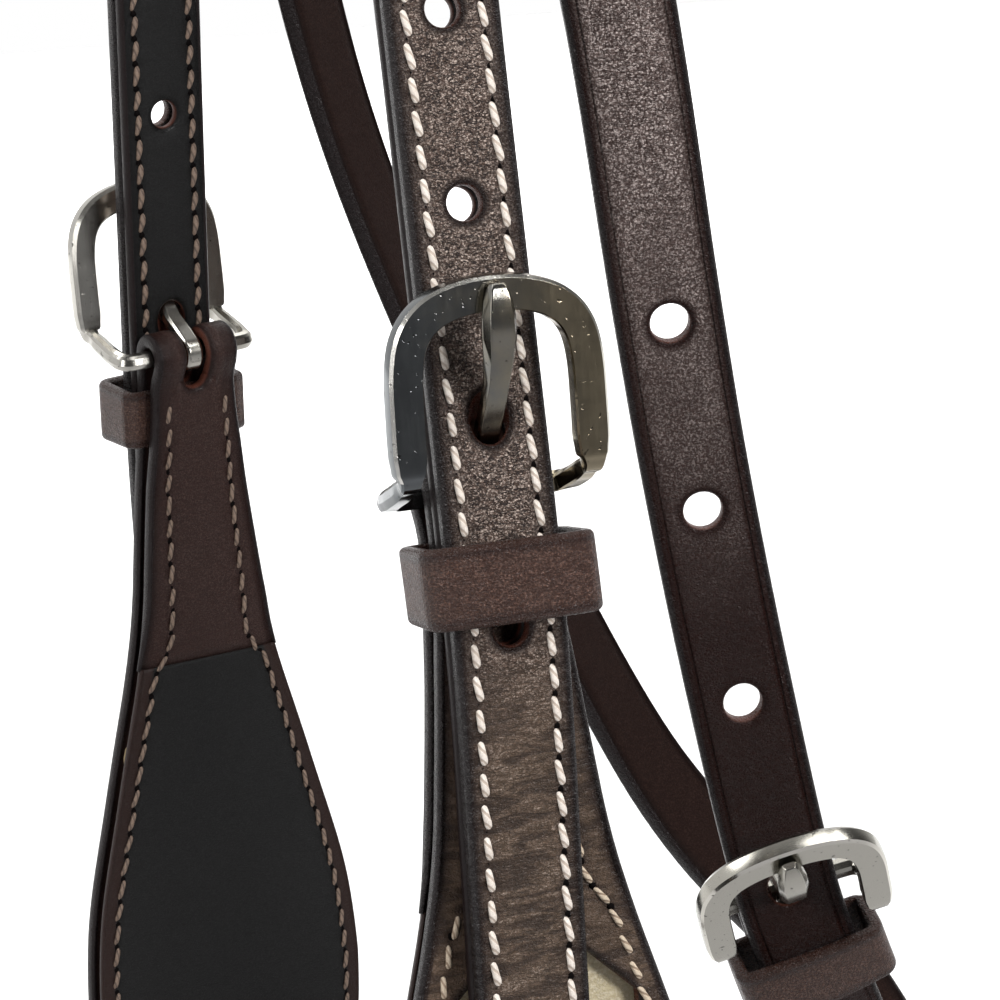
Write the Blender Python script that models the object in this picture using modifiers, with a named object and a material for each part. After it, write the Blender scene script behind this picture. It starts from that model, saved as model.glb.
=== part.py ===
"""Western headstall: a browband headstall with scalloped cheeks and a throatlatch.

Metres, +Z up. The horse faces -Y, its near side is +X, and the origin is where the
underside of the crown strap rests on the poll. The straps are lofted along the lines on
which they hang, and each buckle is built round its own heel bar.
"""
import math

import bmesh
import bpy
import numpy as np
from mathutils import Matrix, Vector

# Leather
STRAP_WIDTH = 0.0159
PLY = 0.0026
LINING = 0.0022
CHEEK_LINING = 0.0014
INLAY = 0.0009
THROAT_PLY = 0.0032
EDGE_ROUND = 0.0006
SEAT_GAP = 0.0003

# The line on which the crown and cheeks hang
CROWN_RADIUS = 0.060
BAR_X = 0.075
BAR_DROP = 0.275
FLARE_ANGLE = math.radians(9.5)
FLARE_RADIUS = 0.150
CHEEK_TURN = 0.034
NEAR_CHEEK_LEAN = 0.038
FAR_TWIST = math.radians(15.0)
TWIST_START = 0.120
TWIST_LENGTH = 0.110

# Crown billets
BILLET_BELOW_BAR = 0.092
BILLET_POINT = 0.014
BILLET_TIP_HALF = 0.0022
HOLE_RADIUS = 0.00235
TONGUE_HOLE_UP = 0.0110
HOLE_STEP_UP = 0.0267
HOLE_STEP_HIGH = 0.0251
HOLE_STEP_DOWN = 0.0281
HOLES_HIGH = 3
FAR_HOLE_SHIFT = 0.0040

# Cheeks
CHEEK_LENGTH = 0.228
CHEEK_SPARE = 0.008
CHEEK_HALF = 0.0277
CHEEK_END_ROUND = 0.0065
CHAPE_LENGTH = 0.056
CHAPE_SKIVE = 0.0012
CHAPE_SKIVE_RUN = 0.0100
CHAPE_CLOSE = 0.0240
LINING_MARGIN = 0.0004
WINDOW_HALF = 0.0142
WINDOW_TOP_HALF = 0.0060
WINDOW_TOP = 0.0625
WINDOW_ABOVE_END = 0.0545
WINDOW_SHOULDER = 0.0082
INLAY_MARGIN = 0.0035

# Buckles
BAR_RADIUS = 0.0016
BAR_CLEARANCE = 0.0003
BUCKLE_HALF = 0.0150
BUCKLE_TOP = 0.0300
BUCKLE_BAND = 0.0047
BUCKLE_DEPTH = 0.0030
LEG_FOOT = 0.0045
FOOT_SHARE = 0.76
FOOT_SQUARE = 0.35
BAND_SQUARE = 0.70
SIDE_TILT = math.radians(8.0)
TONGUE_EYE_RADIUS = 0.0033
TONGUE_EYE_WIDTH = 0.0032
TONGUE_WRAP = math.radians(235.0)
TONGUE_TIP_WIDTH = 0.0046
TONGUE_THICK = 0.0024
TONGUE_TIP_SHARE = 0.6
TONGUE_TOP = 0.0290
TONGUE_SLACK = 0.0018
TONGUE_HOLE_LOWER = 0.0005
SLOT_HALF = 0.0023
SLOT_DOWN = 0.0062

# Keepers
KEEPER_TOP = 0.0059
KEEPER_HEIGHT = 0.0103
KEEPER_HALF = 0.0122
KEEPER_WALL = 0.0022
KEEPER_BACK = 0.0014
KEEPER_BOW = 0.0007
KEEPER_ROUND = 0.0022

# Bit ends
BIT_PLY = 0.0026
BIT_RADIUS = 0.0062
BIT_LAP = 0.038
BIT_END_ROUND = 0.0050
BIT_BELOW_END = 0.017
BIT_LOOP_START = math.radians(65.0)
SCREW_HIGH_UP = 0.026
SCREW_LOW_UP = 0.012
POST_RADIUS = 0.0025
POST_BORE = 0.0016
CAP_SHANK = 0.0013
HEAD_RADIUS = 0.0048
HEAD_HEIGHT = 0.0013
HEAD_RIM = 0.0004
SCREW_CLEARANCE = 0.0003

# Browband
BROW_DROP = 0.105
BROW_WIDTH = 0.0190
BROW_PLY = 0.0024
BROW_LINING = 0.0014
BROW_FRONT = 0.112
BROW_CLEARANCE = 0.0005
BROW_LAP = 0.0200

# Throatlatch
THROAT_BESIDE = 0.0170
THROAT_START = 0.130
THROAT_BACK = 0.103
THROAT_DROP = 0.430
THROAT_BILLET = 0.062
THROAT_CHAPE = 0.046
THROAT_HOLE_STEP = 0.0300
THROAT_HOLE_RADIUS = 0.0029
THROAT_HOLES_UP = 3
THROAT_TILT = math.radians(24.0)
THROAT_THICKEN = 0.070
THROAT_SHIFT = 0.250
THROAT_BAR_RUN = 0.2297
THROAT_TONGUE_UP = 0.0077
THROAT_HOLES_DOWN = 1

# How closely the straps are built, and the cutters' overrun
STATION_ARCH = 0.008
STATION_STRAIGHT = 0.012
STATION_CHEEK = 0.0065
STATION_THROAT = 0.010
STATION_FOLD = 0.004
FOLD_STEPS = 8
EYE_STEPS = 8
FRAME_SIDES = 12
KEEPER_STEPS = 3
HOLE_SIDES = 14
SCREW_HOLE_SIDES = 12
SLOT_SIDES = 8
LOOP_STEPS = 12
BROW_STEPS = 12
BROW_TURN_STEPS = 4
ROUTE_STEPS = 6
ARCH_STEPS = 24
TURN_STEPS = 16
MERGE = 0.00005
CUT_OVERRUN = 0.0020

# Outline of a cheek: distance below the bar as a share of the cheek's length between its
# straps, and half width as a share of the widest half width, to the middle of the cheek.
CHEEK_SPAN = CHEEK_LENGTH + CHEEK_SPARE
CHEEK_OUTLINE_SHARES = (
    (0.000, 0.287), (0.051, 0.300), (0.076, 0.332), (0.127, 0.379), (0.169, 0.419),
    (0.199, 0.448), (0.220, 0.487), (0.242, 0.527), (0.267, 0.585), (0.309, 0.686),
    (0.339, 0.751), (0.373, 0.830), (0.398, 0.888), (0.419, 0.931), (0.453, 0.975),
    (0.500, 1.000),
)

# Where rings are built along a billet's point and a cheek's and a bit strap's rounded ends,
# as shares of the shaped length, from its start to the end.
POINT_SHARES = (0.75, 0.5, 0.3, 0.15, 0.05, 0.0)
END_SHARES = (1.0, 0.6, 0.3, 0.1, 0.0)

# The screw cap's domed top: radius and height as shares of the head's.
DOME_SHARES = ((0.50, 0.92), (0.90, 0.60))

# The throatlatch's hanging line from the near side round to the far side: x as a share of
# the crown's half width, y of how far it hangs back, z of how far it hangs down, then the
# way its outer face looks.
THROAT_ROUTE_SHARES = (
    ((0.860, 0.326, -0.483), (1.00, -0.27, 0.00)),
    ((0.742, 0.406, -0.591), (1.00, -0.27, 0.00)),
    ((0.686, 0.454, -0.657), (1.00, -0.27, 0.00)),
    ((0.676, 0.508, -0.733), (1.00, -0.27, 0.00)),
    ((0.565, 0.601, -0.817), (1.00, -0.27, -0.10)),
    ((0.395, 0.725, -0.889), (0.90, 0.05, -0.35)),
    ((0.191, 0.870, -0.949), (0.60, 0.20, -0.75)),
    ((-0.043, 0.998, -0.984), (0.05, 0.35, -0.90)),
    ((-0.339, 1.046, -0.960), (-0.45, 0.30, -0.80)),
    ((-0.573, 0.984, -0.911), (-0.75, 0.05, -0.50)),
    ((-0.757, 0.802, -0.852), (-0.80, -0.35, -0.20)),
    ((-0.878, 0.667, -0.785), (-0.75, -0.60, -0.05)),
    ((-0.960, 0.410, -0.630), (-0.70, -0.70, 0.00)),
    ((-1.007, 0.254, -0.492), (-0.75, -0.65, 0.00)),
)

# Colours and finishes: base colour, roughness, metallic
FINISHES = {
    "brown_leather": ((0.042, 0.022, 0.016), 0.42, 0.0),
    "black_lining": ((0.014, 0.013, 0.013), 0.60, 0.0),
    "keeper_leather": ((0.060, 0.018, 0.011), 0.38, 0.0),
    "cream_leather": ((0.560, 0.470, 0.290), 0.60, 0.0),
    "nickel": ((0.330, 0.320, 0.300), 0.22, 1.0),
}


# Worked out from the sizes above
CROWN_IN = BAR_RADIUS + BAR_CLEARANCE + PLY + SEAT_GAP
CROWN_OUT = CROWN_IN + LINING + SEAT_GAP + PLY
MASTER_RADIUS = CROWN_RADIUS - CROWN_IN
PLY_IN = BAR_RADIUS + BAR_CLEARANCE
PLY_MID = PLY_IN + PLY / 2
STRAP_HALF = STRAP_WIDTH / 2
FLARE_TURN_X = FLARE_RADIUS * (1 - math.cos(FLARE_ANGLE))
FLARE_TURN_Z = FLARE_RADIUS * math.sin(FLARE_ANGLE)
FLARE_RUN = (BAR_X - MASTER_RADIUS - FLARE_TURN_X) / math.sin(FLARE_ANGLE)
SIDE_RUN = (BAR_DROP - CROWN_IN - MASTER_RADIUS - FLARE_TURN_Z
            - FLARE_RUN * math.cos(FLARE_ANGLE))
ARCH_LENGTH = MASTER_RADIUS * math.pi / 2
BAR_LENGTH = ARCH_LENGTH + SIDE_RUN + FLARE_RADIUS * FLARE_ANGLE + FLARE_RUN
INLAY_OUT = PLY_IN - SEAT_GAP
LINING_LOBE_OUT = INLAY_OUT - INLAY - SEAT_GAP
BIT_FRONT_MID = LINING_LOBE_OUT - CHEEK_LINING - SEAT_GAP - BIT_PLY / 2
BIT_BACK_MID = BIT_FRONT_MID - BIT_PLY - SEAT_GAP
WINDOW_BOTTOM = CHEEK_LENGTH - WINDOW_ABOVE_END
BIT_TOP = CHEEK_LENGTH - BIT_LAP
BIT_CENTRE = CHEEK_LENGTH + BIT_BELOW_END
SCREWS = (("upper", CHEEK_LENGTH - SCREW_HIGH_UP), ("lower", CHEEK_LENGTH - SCREW_LOW_UP))


def clear_scene():
    for obj in list(bpy.data.objects):
        bpy.data.objects.remove(obj, do_unlink=True)


def collection(name, hidden=False):
    group = bpy.data.collections.new(name)
    bpy.context.scene.collection.children.link(group)
    group.hide_render = hidden
    return group


def finish(name):
    if name in bpy.data.materials:
        return bpy.data.materials[name]
    colour, roughness, metallic = FINISHES[name]
    material = bpy.data.materials.new(name)
    material.use_nodes = True
    shader = material.node_tree.nodes["Principled BSDF"]
    shader.inputs["Base Color"].default_value = (*colour, 1.0)
    shader.inputs["Roughness"].default_value = roughness
    shader.inputs["Metallic"].default_value = metallic
    return material


def smooth_step(share):
    share = min(1.0, max(0.0, share))
    return share * share * (3 - 2 * share)


def hang_line(run):
    """x, z and heading on the near side's hanging line, a run below the crown's top."""
    x, z, heading = 0.0, -CROWN_IN, 0.0
    pieces = (
        (ARCH_LENGTH, -math.pi / 2),
        (SIDE_RUN, 0.0),
        (FLARE_RADIUS * FLARE_ANGLE, FLARE_ANGLE),
        (FLARE_RUN, 0.0),
        (CHEEK_TURN, -FLARE_ANGLE),
    )
    left = run
    for length, turn in pieces:
        part = min(left, length)
        swing = turn * part / length
        if abs(turn) > 0:
            radius = length / turn
            x += radius * (math.sin(heading + swing) - math.sin(heading))
            z -= radius * (math.cos(heading + swing) - math.cos(heading))
        else:
            x += part * math.cos(heading)
            z += part * math.sin(heading)
        heading += swing
        left -= part
        if left <= 0:
            return x, z, heading
    return x + left * math.cos(heading), z + left * math.sin(heading), heading


def side_frame(below_bar, side, lean=0.0):
    """Point, outward way, backward way and upward way on a side's hanging line.

    lean is how far the strap swings back for each length below the bar."""
    run = below_bar + BAR_LENGTH
    x, z, heading = hang_line(run)
    twist = FAR_TWIST * smooth_step((run - TWIST_START) / TWIST_LENGTH) if side < 0 else 0.0
    point = Vector((side * x, lean * max(below_bar, 0.0), z))
    up = Vector((-side * math.cos(heading), 0.0, -math.sin(heading)))
    flat_out = Vector((-side * math.sin(heading), 0.0, math.cos(heading)))
    flat_back = Vector((0.0, 1.0, 0.0))
    out = flat_out * math.cos(twist) + flat_back * side * math.sin(twist)
    back = flat_back * math.cos(twist) - flat_out * side * math.sin(twist)
    return point, out, back, up


def side_place(side, lean=0.0):
    """Places a point given as below the bar, across the strap and out from the line."""
    def place(below, across, outward):
        point, out, back, _ = side_frame(below, side, lean)
        return point + back * across + out * outward
    return place


def cheek_lean(side):
    """The near cheek has swung back a little behind its billet; the far one hangs straight."""
    return NEAR_CHEEK_LEAN if side > 0 else 0.0


def crown_place(along, across, outward):
    """The same for the crown: along is signed, zero at the poll, positive to the near side."""
    side = 1.0 if along >= 0 else -1.0
    return side_place(side)(abs(along) - BAR_LENGTH, across, outward)


def seat_matrix(point, out, up):
    """A right-handed frame: x out from the strap, z up along it."""
    up = (up - out * up.dot(out)).normalized()
    across = up.cross(out)
    matrix = Matrix((out, across, up)).transposed().to_4x4()
    matrix.translation = point
    return matrix


def make_object(name, bm, group, material=None, smooth_angle=None):
    mesh = bpy.data.meshes.new(name)
    bm.to_mesh(mesh)
    bm.free()
    obj = bpy.data.objects.new(name, mesh)
    group.objects.link(obj)
    if material:
        mesh.materials.append(finish(material))
    if smooth_angle:
        mesh.shade_smooth()
        mesh.set_sharp_from_angle(angle=smooth_angle)
    return obj


def loft(rings, closed=False):
    """A solid skin over rings of points, capped at both ends unless it closes on itself."""
    bm = bmesh.new()
    loops = [[bm.verts.new(point) for point in ring] for ring in rings]
    count = len(loops[0])
    pairs = list(zip(loops, loops[1:]))
    if closed:
        pairs.append((loops[-1], loops[0]))
    for first, second in pairs:
        for k in range(count):
            after = (k + 1) % count
            bm.faces.new((first[k], first[after], second[after], second[k]))
    if not closed:
        bm.faces.new(loops[0])
        bm.faces.new(loops[-1])
    bmesh.ops.recalc_face_normals(bm, faces=bm.faces)
    return bm


def strap_section(half, thick):
    """Corners of a strap's cut end, with its edges rounded over."""
    corner = min(EDGE_ROUND, thick / 3, half / 3)
    deep = thick / 2
    return (
        (-half, -deep + corner), (-half, deep - corner), (-half + corner, deep),
        (half - corner, deep), (half, deep - corner), (half, -deep + corner),
        (half - corner, -deep), (-half + corner, -deep),
    )


def strap(name, spine, place, group, material):
    """A leather strap. Each spine row is along, outward, half width and thickness."""
    rings = []
    last = len(spine) - 1
    for k, (along, outward, half, thick) in enumerate(spine):
        before = spine[max(k - 1, 0)]
        after = spine[min(k + 1, last)]
        run = Vector((after[0] - before[0], after[1] - before[1])).normalized()
        ring = []
        for across, rise in strap_section(half, thick):
            ring.append(place(along - run.y * rise, across, outward + run.x * rise))
        rings.append(ring)
    return make_object(name, loft(rings), group, material, math.radians(40))


def stations(start, end, step):
    count = max(1, math.ceil(abs(end - start) / step))
    return [start + (end - start) * k / count for k in range(count + 1)]


def cut(target, cutter_bm, name, cutters):
    cutter = make_object(name, cutter_bm, cutters)
    cutter.hide_render = True
    cutter.display_type = "WIRE"
    boolean = target.modifiers.new(name, "BOOLEAN")
    boolean.operation = "DIFFERENCE"
    boolean.solver = "EXACT"
    boolean.object = cutter


def add_cylinder(bm, point, axis, radius, length, sides=SCREW_HOLE_SIDES):
    turn = Vector((0, 0, 1)).rotation_difference(axis).to_matrix().to_4x4()
    turn.translation = point
    bmesh.ops.create_cone(bm, cap_ends=True, segments=sides, radius1=radius, radius2=radius,
                          depth=length, matrix=turn)


def prism(points, place, near, far):
    """A flat outline, given as along and across, pushed through from near to far outward."""
    rings = [[place(along, across, outward) for along, across in points]
             for outward in (near, far)]
    return loft(rings)


def billet_half(to_tip, half):
    """Half width of a pointed billet end, to_tip from its tip."""
    if to_tip >= BILLET_POINT:
        return half
    share = max(0.0, to_tip / BILLET_POINT)
    return BILLET_TIP_HALF + (half - BILLET_TIP_HALF) * math.sin(share * math.pi / 2)


def tongue_points(depth):
    """The tongue's line, out and up from the bar, then its width and thickness.

    depth is how far in front of the bar the arch's back lies."""
    rest = depth + BUCKLE_DEPTH + SEAT_GAP + TONGUE_THICK / 2
    shares = (
        (0.12, 0.137, 0.70), (0.27, 0.190, 0.74), (0.47, 0.315, 0.76), (0.69, 0.460, 0.78),
        (0.86, 0.620, 0.88), (0.97, 0.760, 1.00), (1.00, 0.880, 0.98), (1.00, 0.965, 0.80),
        (1.00, 1.000, 0.55),
    )
    line = []
    for out_share, up_share, width_share in shares:
        width = TONGUE_TIP_WIDTH * width_share
        thick = TONGUE_THICK * (TONGUE_TIP_SHARE if up_share == 1.0 else 1.0)
        line.append((rest * out_share, TONGUE_TOP * up_share, width, thick))
    return line


def build_tongue(name, matrix, depth, group):
    """A tongue turned round the heel bar from below, its blade leaving the loop's top."""
    wall = TONGUE_EYE_RADIUS - PLY_IN
    middle = PLY_IN + wall / 2
    line = []
    for k in range(EYE_STEPS + 1):
        angle = -TONGUE_WRAP * k / EYE_STEPS
        line.append((middle * math.cos(angle), middle * math.sin(angle), TONGUE_EYE_WIDTH, wall))
    line += tongue_points(depth)
    rings = []
    last = len(line) - 1
    for k, (out, up, width, thick) in enumerate(line):
        before = line[max(k - 1, 0)]
        after = line[min(k + 1, last)]
        run = Vector((after[0] - before[0], after[1] - before[1])).normalized()
        ring = []
        for across, rise in strap_section(width / 2, thick):
            ring.append(Vector((out + run.y * rise, across, up - run.x * rise)))
        rings.append(ring)
    tongue = make_object(name, loft(rings), group, "nickel", math.radians(40))
    tongue.matrix_world = matrix


def frame_rings(depth):
    """Rings of the buckle frame: round at the heel bar, flat-faced on its legs and arch."""
    middle = depth + BUCKLE_DEPTH / 2
    leg = BUCKLE_HALF - BUCKLE_BAND / 2
    top = BUCKLE_TOP - BUCKLE_BAND / 2
    round_bar = (2 * BAR_RADIUS, 2 * BAR_RADIUS, 0.0)
    foot = (BUCKLE_BAND * FOOT_SHARE, 2 * BAR_RADIUS, FOOT_SQUARE)
    band = (BUCKLE_BAND, BUCKLE_DEPTH, BAND_SQUARE)
    out_dir, side_dir, top_dir = Vector((-1, 0, 0)), Vector((0, 1, 0)), Vector((0, 0, 1))
    half = [
        (Vector((0, 0.00 * leg, 0)), out_dir, round_bar),
        (Vector((0, 0.72 * leg, 0)), out_dir, round_bar),
        (Vector((0.06 * middle, 0.95 * leg, 0.03 * LEG_FOOT)), out_dir + side_dir, round_bar),
        (Vector((0.30 * middle, leg, 0.22 * LEG_FOOT)), side_dir, foot),
        (Vector((0.66 * middle, leg, 0.55 * LEG_FOOT)), side_dir, foot),
        (Vector((0.90 * middle, leg, 0.93 * LEG_FOOT)), side_dir, band),
        (Vector((middle, leg, 1.45 * LEG_FOOT)), side_dir, band),
        (Vector((middle, leg, 0.42 * top)), side_dir, band),
        (Vector((middle, 0.985 * leg, 0.66 * top)), side_dir, band),
        (Vector((middle, 0.90 * leg, 0.82 * top)), side_dir * 2 + top_dir, band),
        (Vector((middle, 0.70 * leg, 0.925 * top)), side_dir + top_dir * 1.6, band),
        (Vector((middle, 0.38 * leg, 0.983 * top)), side_dir * 0.22 + top_dir, band),
        (Vector((middle, 0.0, top)), top_dir, band),
    ]
    mirrored = [(Vector((p.x, -p.y, p.z)), Vector((w.x, -w.y, w.z)), s)
                for p, w, s in reversed(half[1:-1])]
    return half + mirrored


def build_frame(name, matrix, depth, group):
    path = frame_rings(depth)
    count = len(path)
    rings = []
    for k, (point, wide, (width, thick, square)) in enumerate(path):
        run = (path[(k + 1) % count][0] - path[k - 1][0]).normalized()
        wide = (wide - run * wide.dot(run)).normalized()
        thin = run.cross(wide)
        power = 1.0 - 0.55 * square
        ring = []
        for j in range(FRAME_SIDES):
            angle = 2 * math.pi * (j + 0.5) / FRAME_SIDES
            c, s = math.cos(angle), math.sin(angle)
            a = math.copysign(abs(c) ** power, c) * width / 2
            b = math.copysign(abs(s) ** power, s) * thick / 2
            ring.append(point + wide * a + thin * b)
        rings.append(ring)
    frame = make_object(name, loft(rings, closed=True), group, "nickel", math.radians(35))
    frame.matrix_world = matrix
    return frame


def rounded_box(near, far, half, corner):
    """Points round a box with rounded corners, between near and far out, half each way across."""
    points = []
    for x_side, y_side, first in ((1, 1, 0), (-1, 1, 90), (-1, -1, 180), (1, -1, 270)):
        centre_x = (far if x_side > 0 else near) - x_side * corner
        centre_y = y_side * (half - corner)
        for k in range(KEEPER_STEPS + 1):
            angle = math.radians(first + 90 * k / KEEPER_STEPS)
            points.append((centre_x + corner * math.cos(angle), centre_y + corner * math.sin(angle)))
    return points


def build_keeper(name, place, back_out, front_out, group):
    """A leather loop round the straps that lie from back_out to front_out from the bar line."""
    near = back_out - SEAT_GAP
    far = front_out + SEAT_GAP
    middle = (near + far) / 2
    outer = rounded_box(near - KEEPER_BACK, far + KEEPER_WALL, KEEPER_HALF, KEEPER_ROUND)
    inner = rounded_box(near, far, KEEPER_HALF - KEEPER_WALL, KEEPER_ROUND / 2)
    levels = stations(KEEPER_TOP, KEEPER_TOP + KEEPER_HEIGHT, KEEPER_HEIGHT / 2)
    rings = []
    for points, downs in ((outer, levels), (inner, levels[::-1])):
        for below in downs:
            ring = []
            for x, y in points:
                bow = KEEPER_BOW * (1 - (y / KEEPER_HALF) ** 2) if x > middle else 0.0
                ring.append(place(below, y, x + bow))
            rings.append(ring)
    keeper = loft(rings, closed=True)
    return make_object(name, keeper, group, "keeper_leather", math.radians(50))


def fold_rows(length, ply, mate):
    """Rows of a chape: from its skived end inside, up, round the heel bar and down outside.

    mate is how far out the chape's outer face lies below the keeper."""
    half = STRAP_HALF
    bend = PLY_IN + ply / 2
    tucked = PLY_IN - 2 * SEAT_GAP - KEEPER_BACK - ply / 2
    rows = []
    for below in stations(length, CHAPE_CLOSE, STATION_CHEEK):
        thick = CHAPE_SKIVE + (ply - CHAPE_SKIVE) * min(1.0, (length - below) / CHAPE_SKIVE_RUN)
        rows.append((below, mate - thick / 2, half, thick))
    rows.append((KEEPER_TOP + KEEPER_HEIGHT + SEAT_GAP, min(tucked, mate - ply / 2), half, ply))
    rows.append((KEEPER_TOP - SEAT_GAP, tucked, half, ply))
    for k in range(FOLD_STEPS + 1):
        angle = math.pi * k / FOLD_STEPS
        rows.append((-bend * math.sin(angle), -bend * math.cos(angle), half, ply))
    return rows


def cheek_half(below):
    """Half width of the cheek's leather, below the bar."""
    share = below / CHEEK_SPAN
    share = min(max(min(share, 1 - share), 0.0), 0.5)
    distances = [row[0] for row in CHEEK_OUTLINE_SHARES]
    widths = [row[1] for row in CHEEK_OUTLINE_SHARES]
    return CHEEK_HALF * float(np.interp(share, distances, widths))


def round_end(to_end, half, corner):
    """Half width near a square end with rounded corners."""
    if to_end >= corner:
        return half
    return half - corner + math.sqrt(max(0.0, corner * corner - (corner - to_end) ** 2))


def build_crown(group, cutters):
    reach = BAR_LENGTH + BILLET_BELOW_BAR
    half_runs = sorted(set(
        stations(0, ARCH_LENGTH, STATION_ARCH) + stations(ARCH_LENGTH, BAR_LENGTH, STATION_STRAIGHT)
        + stations(BAR_LENGTH, reach - BILLET_POINT, STATION_ARCH)
        + [reach - BILLET_POINT * share for share in POINT_SHARES]
    ))
    runs = [-run for run in reversed(half_runs)] + half_runs[1:]
    layers = (
        ("crown_lining", CROWN_IN + LINING / 2, LINING, "black_lining"),
        ("crown_strap", CROWN_OUT - PLY / 2, PLY, "brown_leather"),
    )
    hole_ups = [TONGUE_HOLE_UP - HOLE_STEP_DOWN]
    hole_ups += [TONGUE_HOLE_UP + HOLE_STEP_UP + HOLE_STEP_HIGH * k for k in range(HOLES_HIGH)]
    for name, middle, thick, material in layers:
        spine = [(run, middle, billet_half(reach - abs(run), STRAP_HALF), thick) for run in runs]
        layer = strap(name, spine, crown_place, group, material)
        holes = bmesh.new()
        for side in (1, -1):
            for up in hole_ups:
                shift = FAR_HOLE_SHIFT if side < 0 and up > 0 else 0.0
                point, out, _, _ = side_frame(-up - shift, side)
                add_cylinder(holes, point + out * middle, out, HOLE_RADIUS, thick + CUT_OVERRUN)
            add_tongue_hole(holes, side_place(side), CROWN_IN, CROWN_OUT, CROWN_OUT + SEAT_GAP,
                            SIDE_TILT)
        cut(layer, holes, name + "_holes", cutters)


def side_matrix(side, below=0.0):
    point, out, _, up = side_frame(below, side, cheek_lean(side))
    return seat_matrix(point, out, up)


def add_tongue_hole(bm, place, inner, outer, depth, turn):
    """The stretched hole that the tongue passes through, slanted as the tongue is."""
    outs, ups = [], []
    for out, up, _, _ in tongue_points(depth)[:6]:
        outs.append(out * math.cos(turn) + up * math.sin(turn))
        ups.append(up * math.cos(turn) - out * math.sin(turn))
    low = float(np.interp(inner, outs, ups))
    slope = (float(np.interp(outer, outs, ups)) - low) / (outer - inner)
    half_up = (TONGUE_THICK / 2 + TONGUE_SLACK) * math.sqrt(1 + slope * slope)
    rings = []
    for out in (inner - SEAT_GAP / 2, outer + CUT_OVERRUN):
        centre = low + slope * (out - inner) - TONGUE_HOLE_LOWER
        ring = []
        for k in range(HOLE_SIDES):
            angle = 2 * math.pi * k / HOLE_SIDES
            ring.append(place(-centre - half_up * math.sin(angle), HOLE_RADIUS * math.cos(angle), out))
        rings.append(ring)
    hole = loft(rings)
    mesh = bpy.data.meshes.new("tongue_hole")
    hole.to_mesh(mesh)
    hole.free()
    bm.from_mesh(mesh)
    bpy.data.meshes.remove(mesh)


def window_points(margin=0.0):
    """The cheek's eight-sided cut-out, or the sheet behind it where margin is set."""
    side = WINDOW_HALF + margin
    top = WINDOW_TOP - margin
    bottom = WINDOW_BOTTOM + margin
    high = WINDOW_TOP + WINDOW_SHOULDER
    low = WINDOW_BOTTOM - WINDOW_SHOULDER
    flat = WINDOW_TOP_HALF + margin / 2
    half = [(top, flat), (high, side), (low, side), (bottom, flat)]
    return half + [(below, -across) for below, across in reversed(half)]


def build_cheek(side, tag, group, cutters):
    place = side_place(side, cheek_lean(side))
    spine = [(below, outward, cheek_half(max(below, 0.0)), thick)
             for below, outward, _, thick in fold_rows(CHAPE_LENGTH, PLY, LINING_LOBE_OUT)]
    end_runs = [CHEEK_LENGTH - CHEEK_END_ROUND * share for share in END_SHARES]
    plate = stations(STATION_FOLD, CHEEK_LENGTH - CHEEK_END_ROUND, STATION_CHEEK) + end_runs[1:]
    for below in plate:
        half = round_end(CHEEK_LENGTH - below, cheek_half(below), CHEEK_END_ROUND)
        spine.append((below, PLY_MID, half, PLY))
    cheek = strap(tag + "_cheek", spine, place, group, "brown_leather")

    cut(cheek, slot_cutter(side_matrix(side), PLY_IN + PLY + CUT_OVERRUN), tag + "_slot", cutters)
    cut(cheek, prism(window_points(), place, PLY_IN - CUT_OVERRUN, PLY_IN + PLY + CUT_OVERRUN),
        tag + "_window", cutters)

    lining_mid = LINING_LOBE_OUT - CHEEK_LINING / 2
    spine = []
    for below in [CHAPE_LENGTH + SEAT_GAP] + plate:
        if below > CHAPE_LENGTH + SEAT_GAP or not spine:
            half = round_end(CHEEK_LENGTH - below, cheek_half(below), CHEEK_END_ROUND) - LINING_MARGIN
            spine.append((below, lining_mid, half, CHEEK_LINING))
    lining = strap(tag + "_cheek_lining", spine, place, group, "black_lining")

    inlay = prism(window_points(INLAY_MARGIN), place, INLAY_OUT - INLAY, INLAY_OUT)
    make_object(tag + "_cheek_inlay", inlay, group, "cream_leather")

    bit_strap = build_bit_strap(side, tag, group)
    for layer in (cheek, lining, bit_strap):
        holes = bmesh.new()
        for _, below in SCREWS:
            point, out, _, _ = side_frame(below, side, cheek_lean(side))
            middle = (PLY_IN + PLY + BIT_BACK_MID) / 2
            length = PLY_IN + PLY - BIT_BACK_MID + BIT_PLY + 2 * CUT_OVERRUN
            add_cylinder(holes, point + out * middle, out, POST_RADIUS + SCREW_CLEARANCE, length)
        cut(layer, holes, layer.name + "_screw_holes", cutters)
    for name, below in SCREWS:
        build_screw(tag + "_" + name, side_matrix(side, below), group)


def flat_place(matrix):
    """Places a point by a buckle's flat frame instead of the curved strap."""
    def place(below, across, outward):
        return matrix @ Vector((outward, across, -below))
    return place


def slot_cutter(matrix, front):
    """The slot in a fold that the tongue swings in, cut from behind out to front."""
    back = -PLY_IN - PLY - CUT_OVERRUN
    centre = SLOT_DOWN - SLOT_HALF
    slot = [(back, -SLOT_HALF), (back, SLOT_HALF)]
    for k in range(SLOT_SIDES + 1):
        angle = math.pi * k / SLOT_SIDES
        slot.append((centre + SLOT_HALF * math.sin(angle), SLOT_HALF * math.cos(angle)))
    return prism(slot, flat_place(matrix), back, front)


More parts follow.
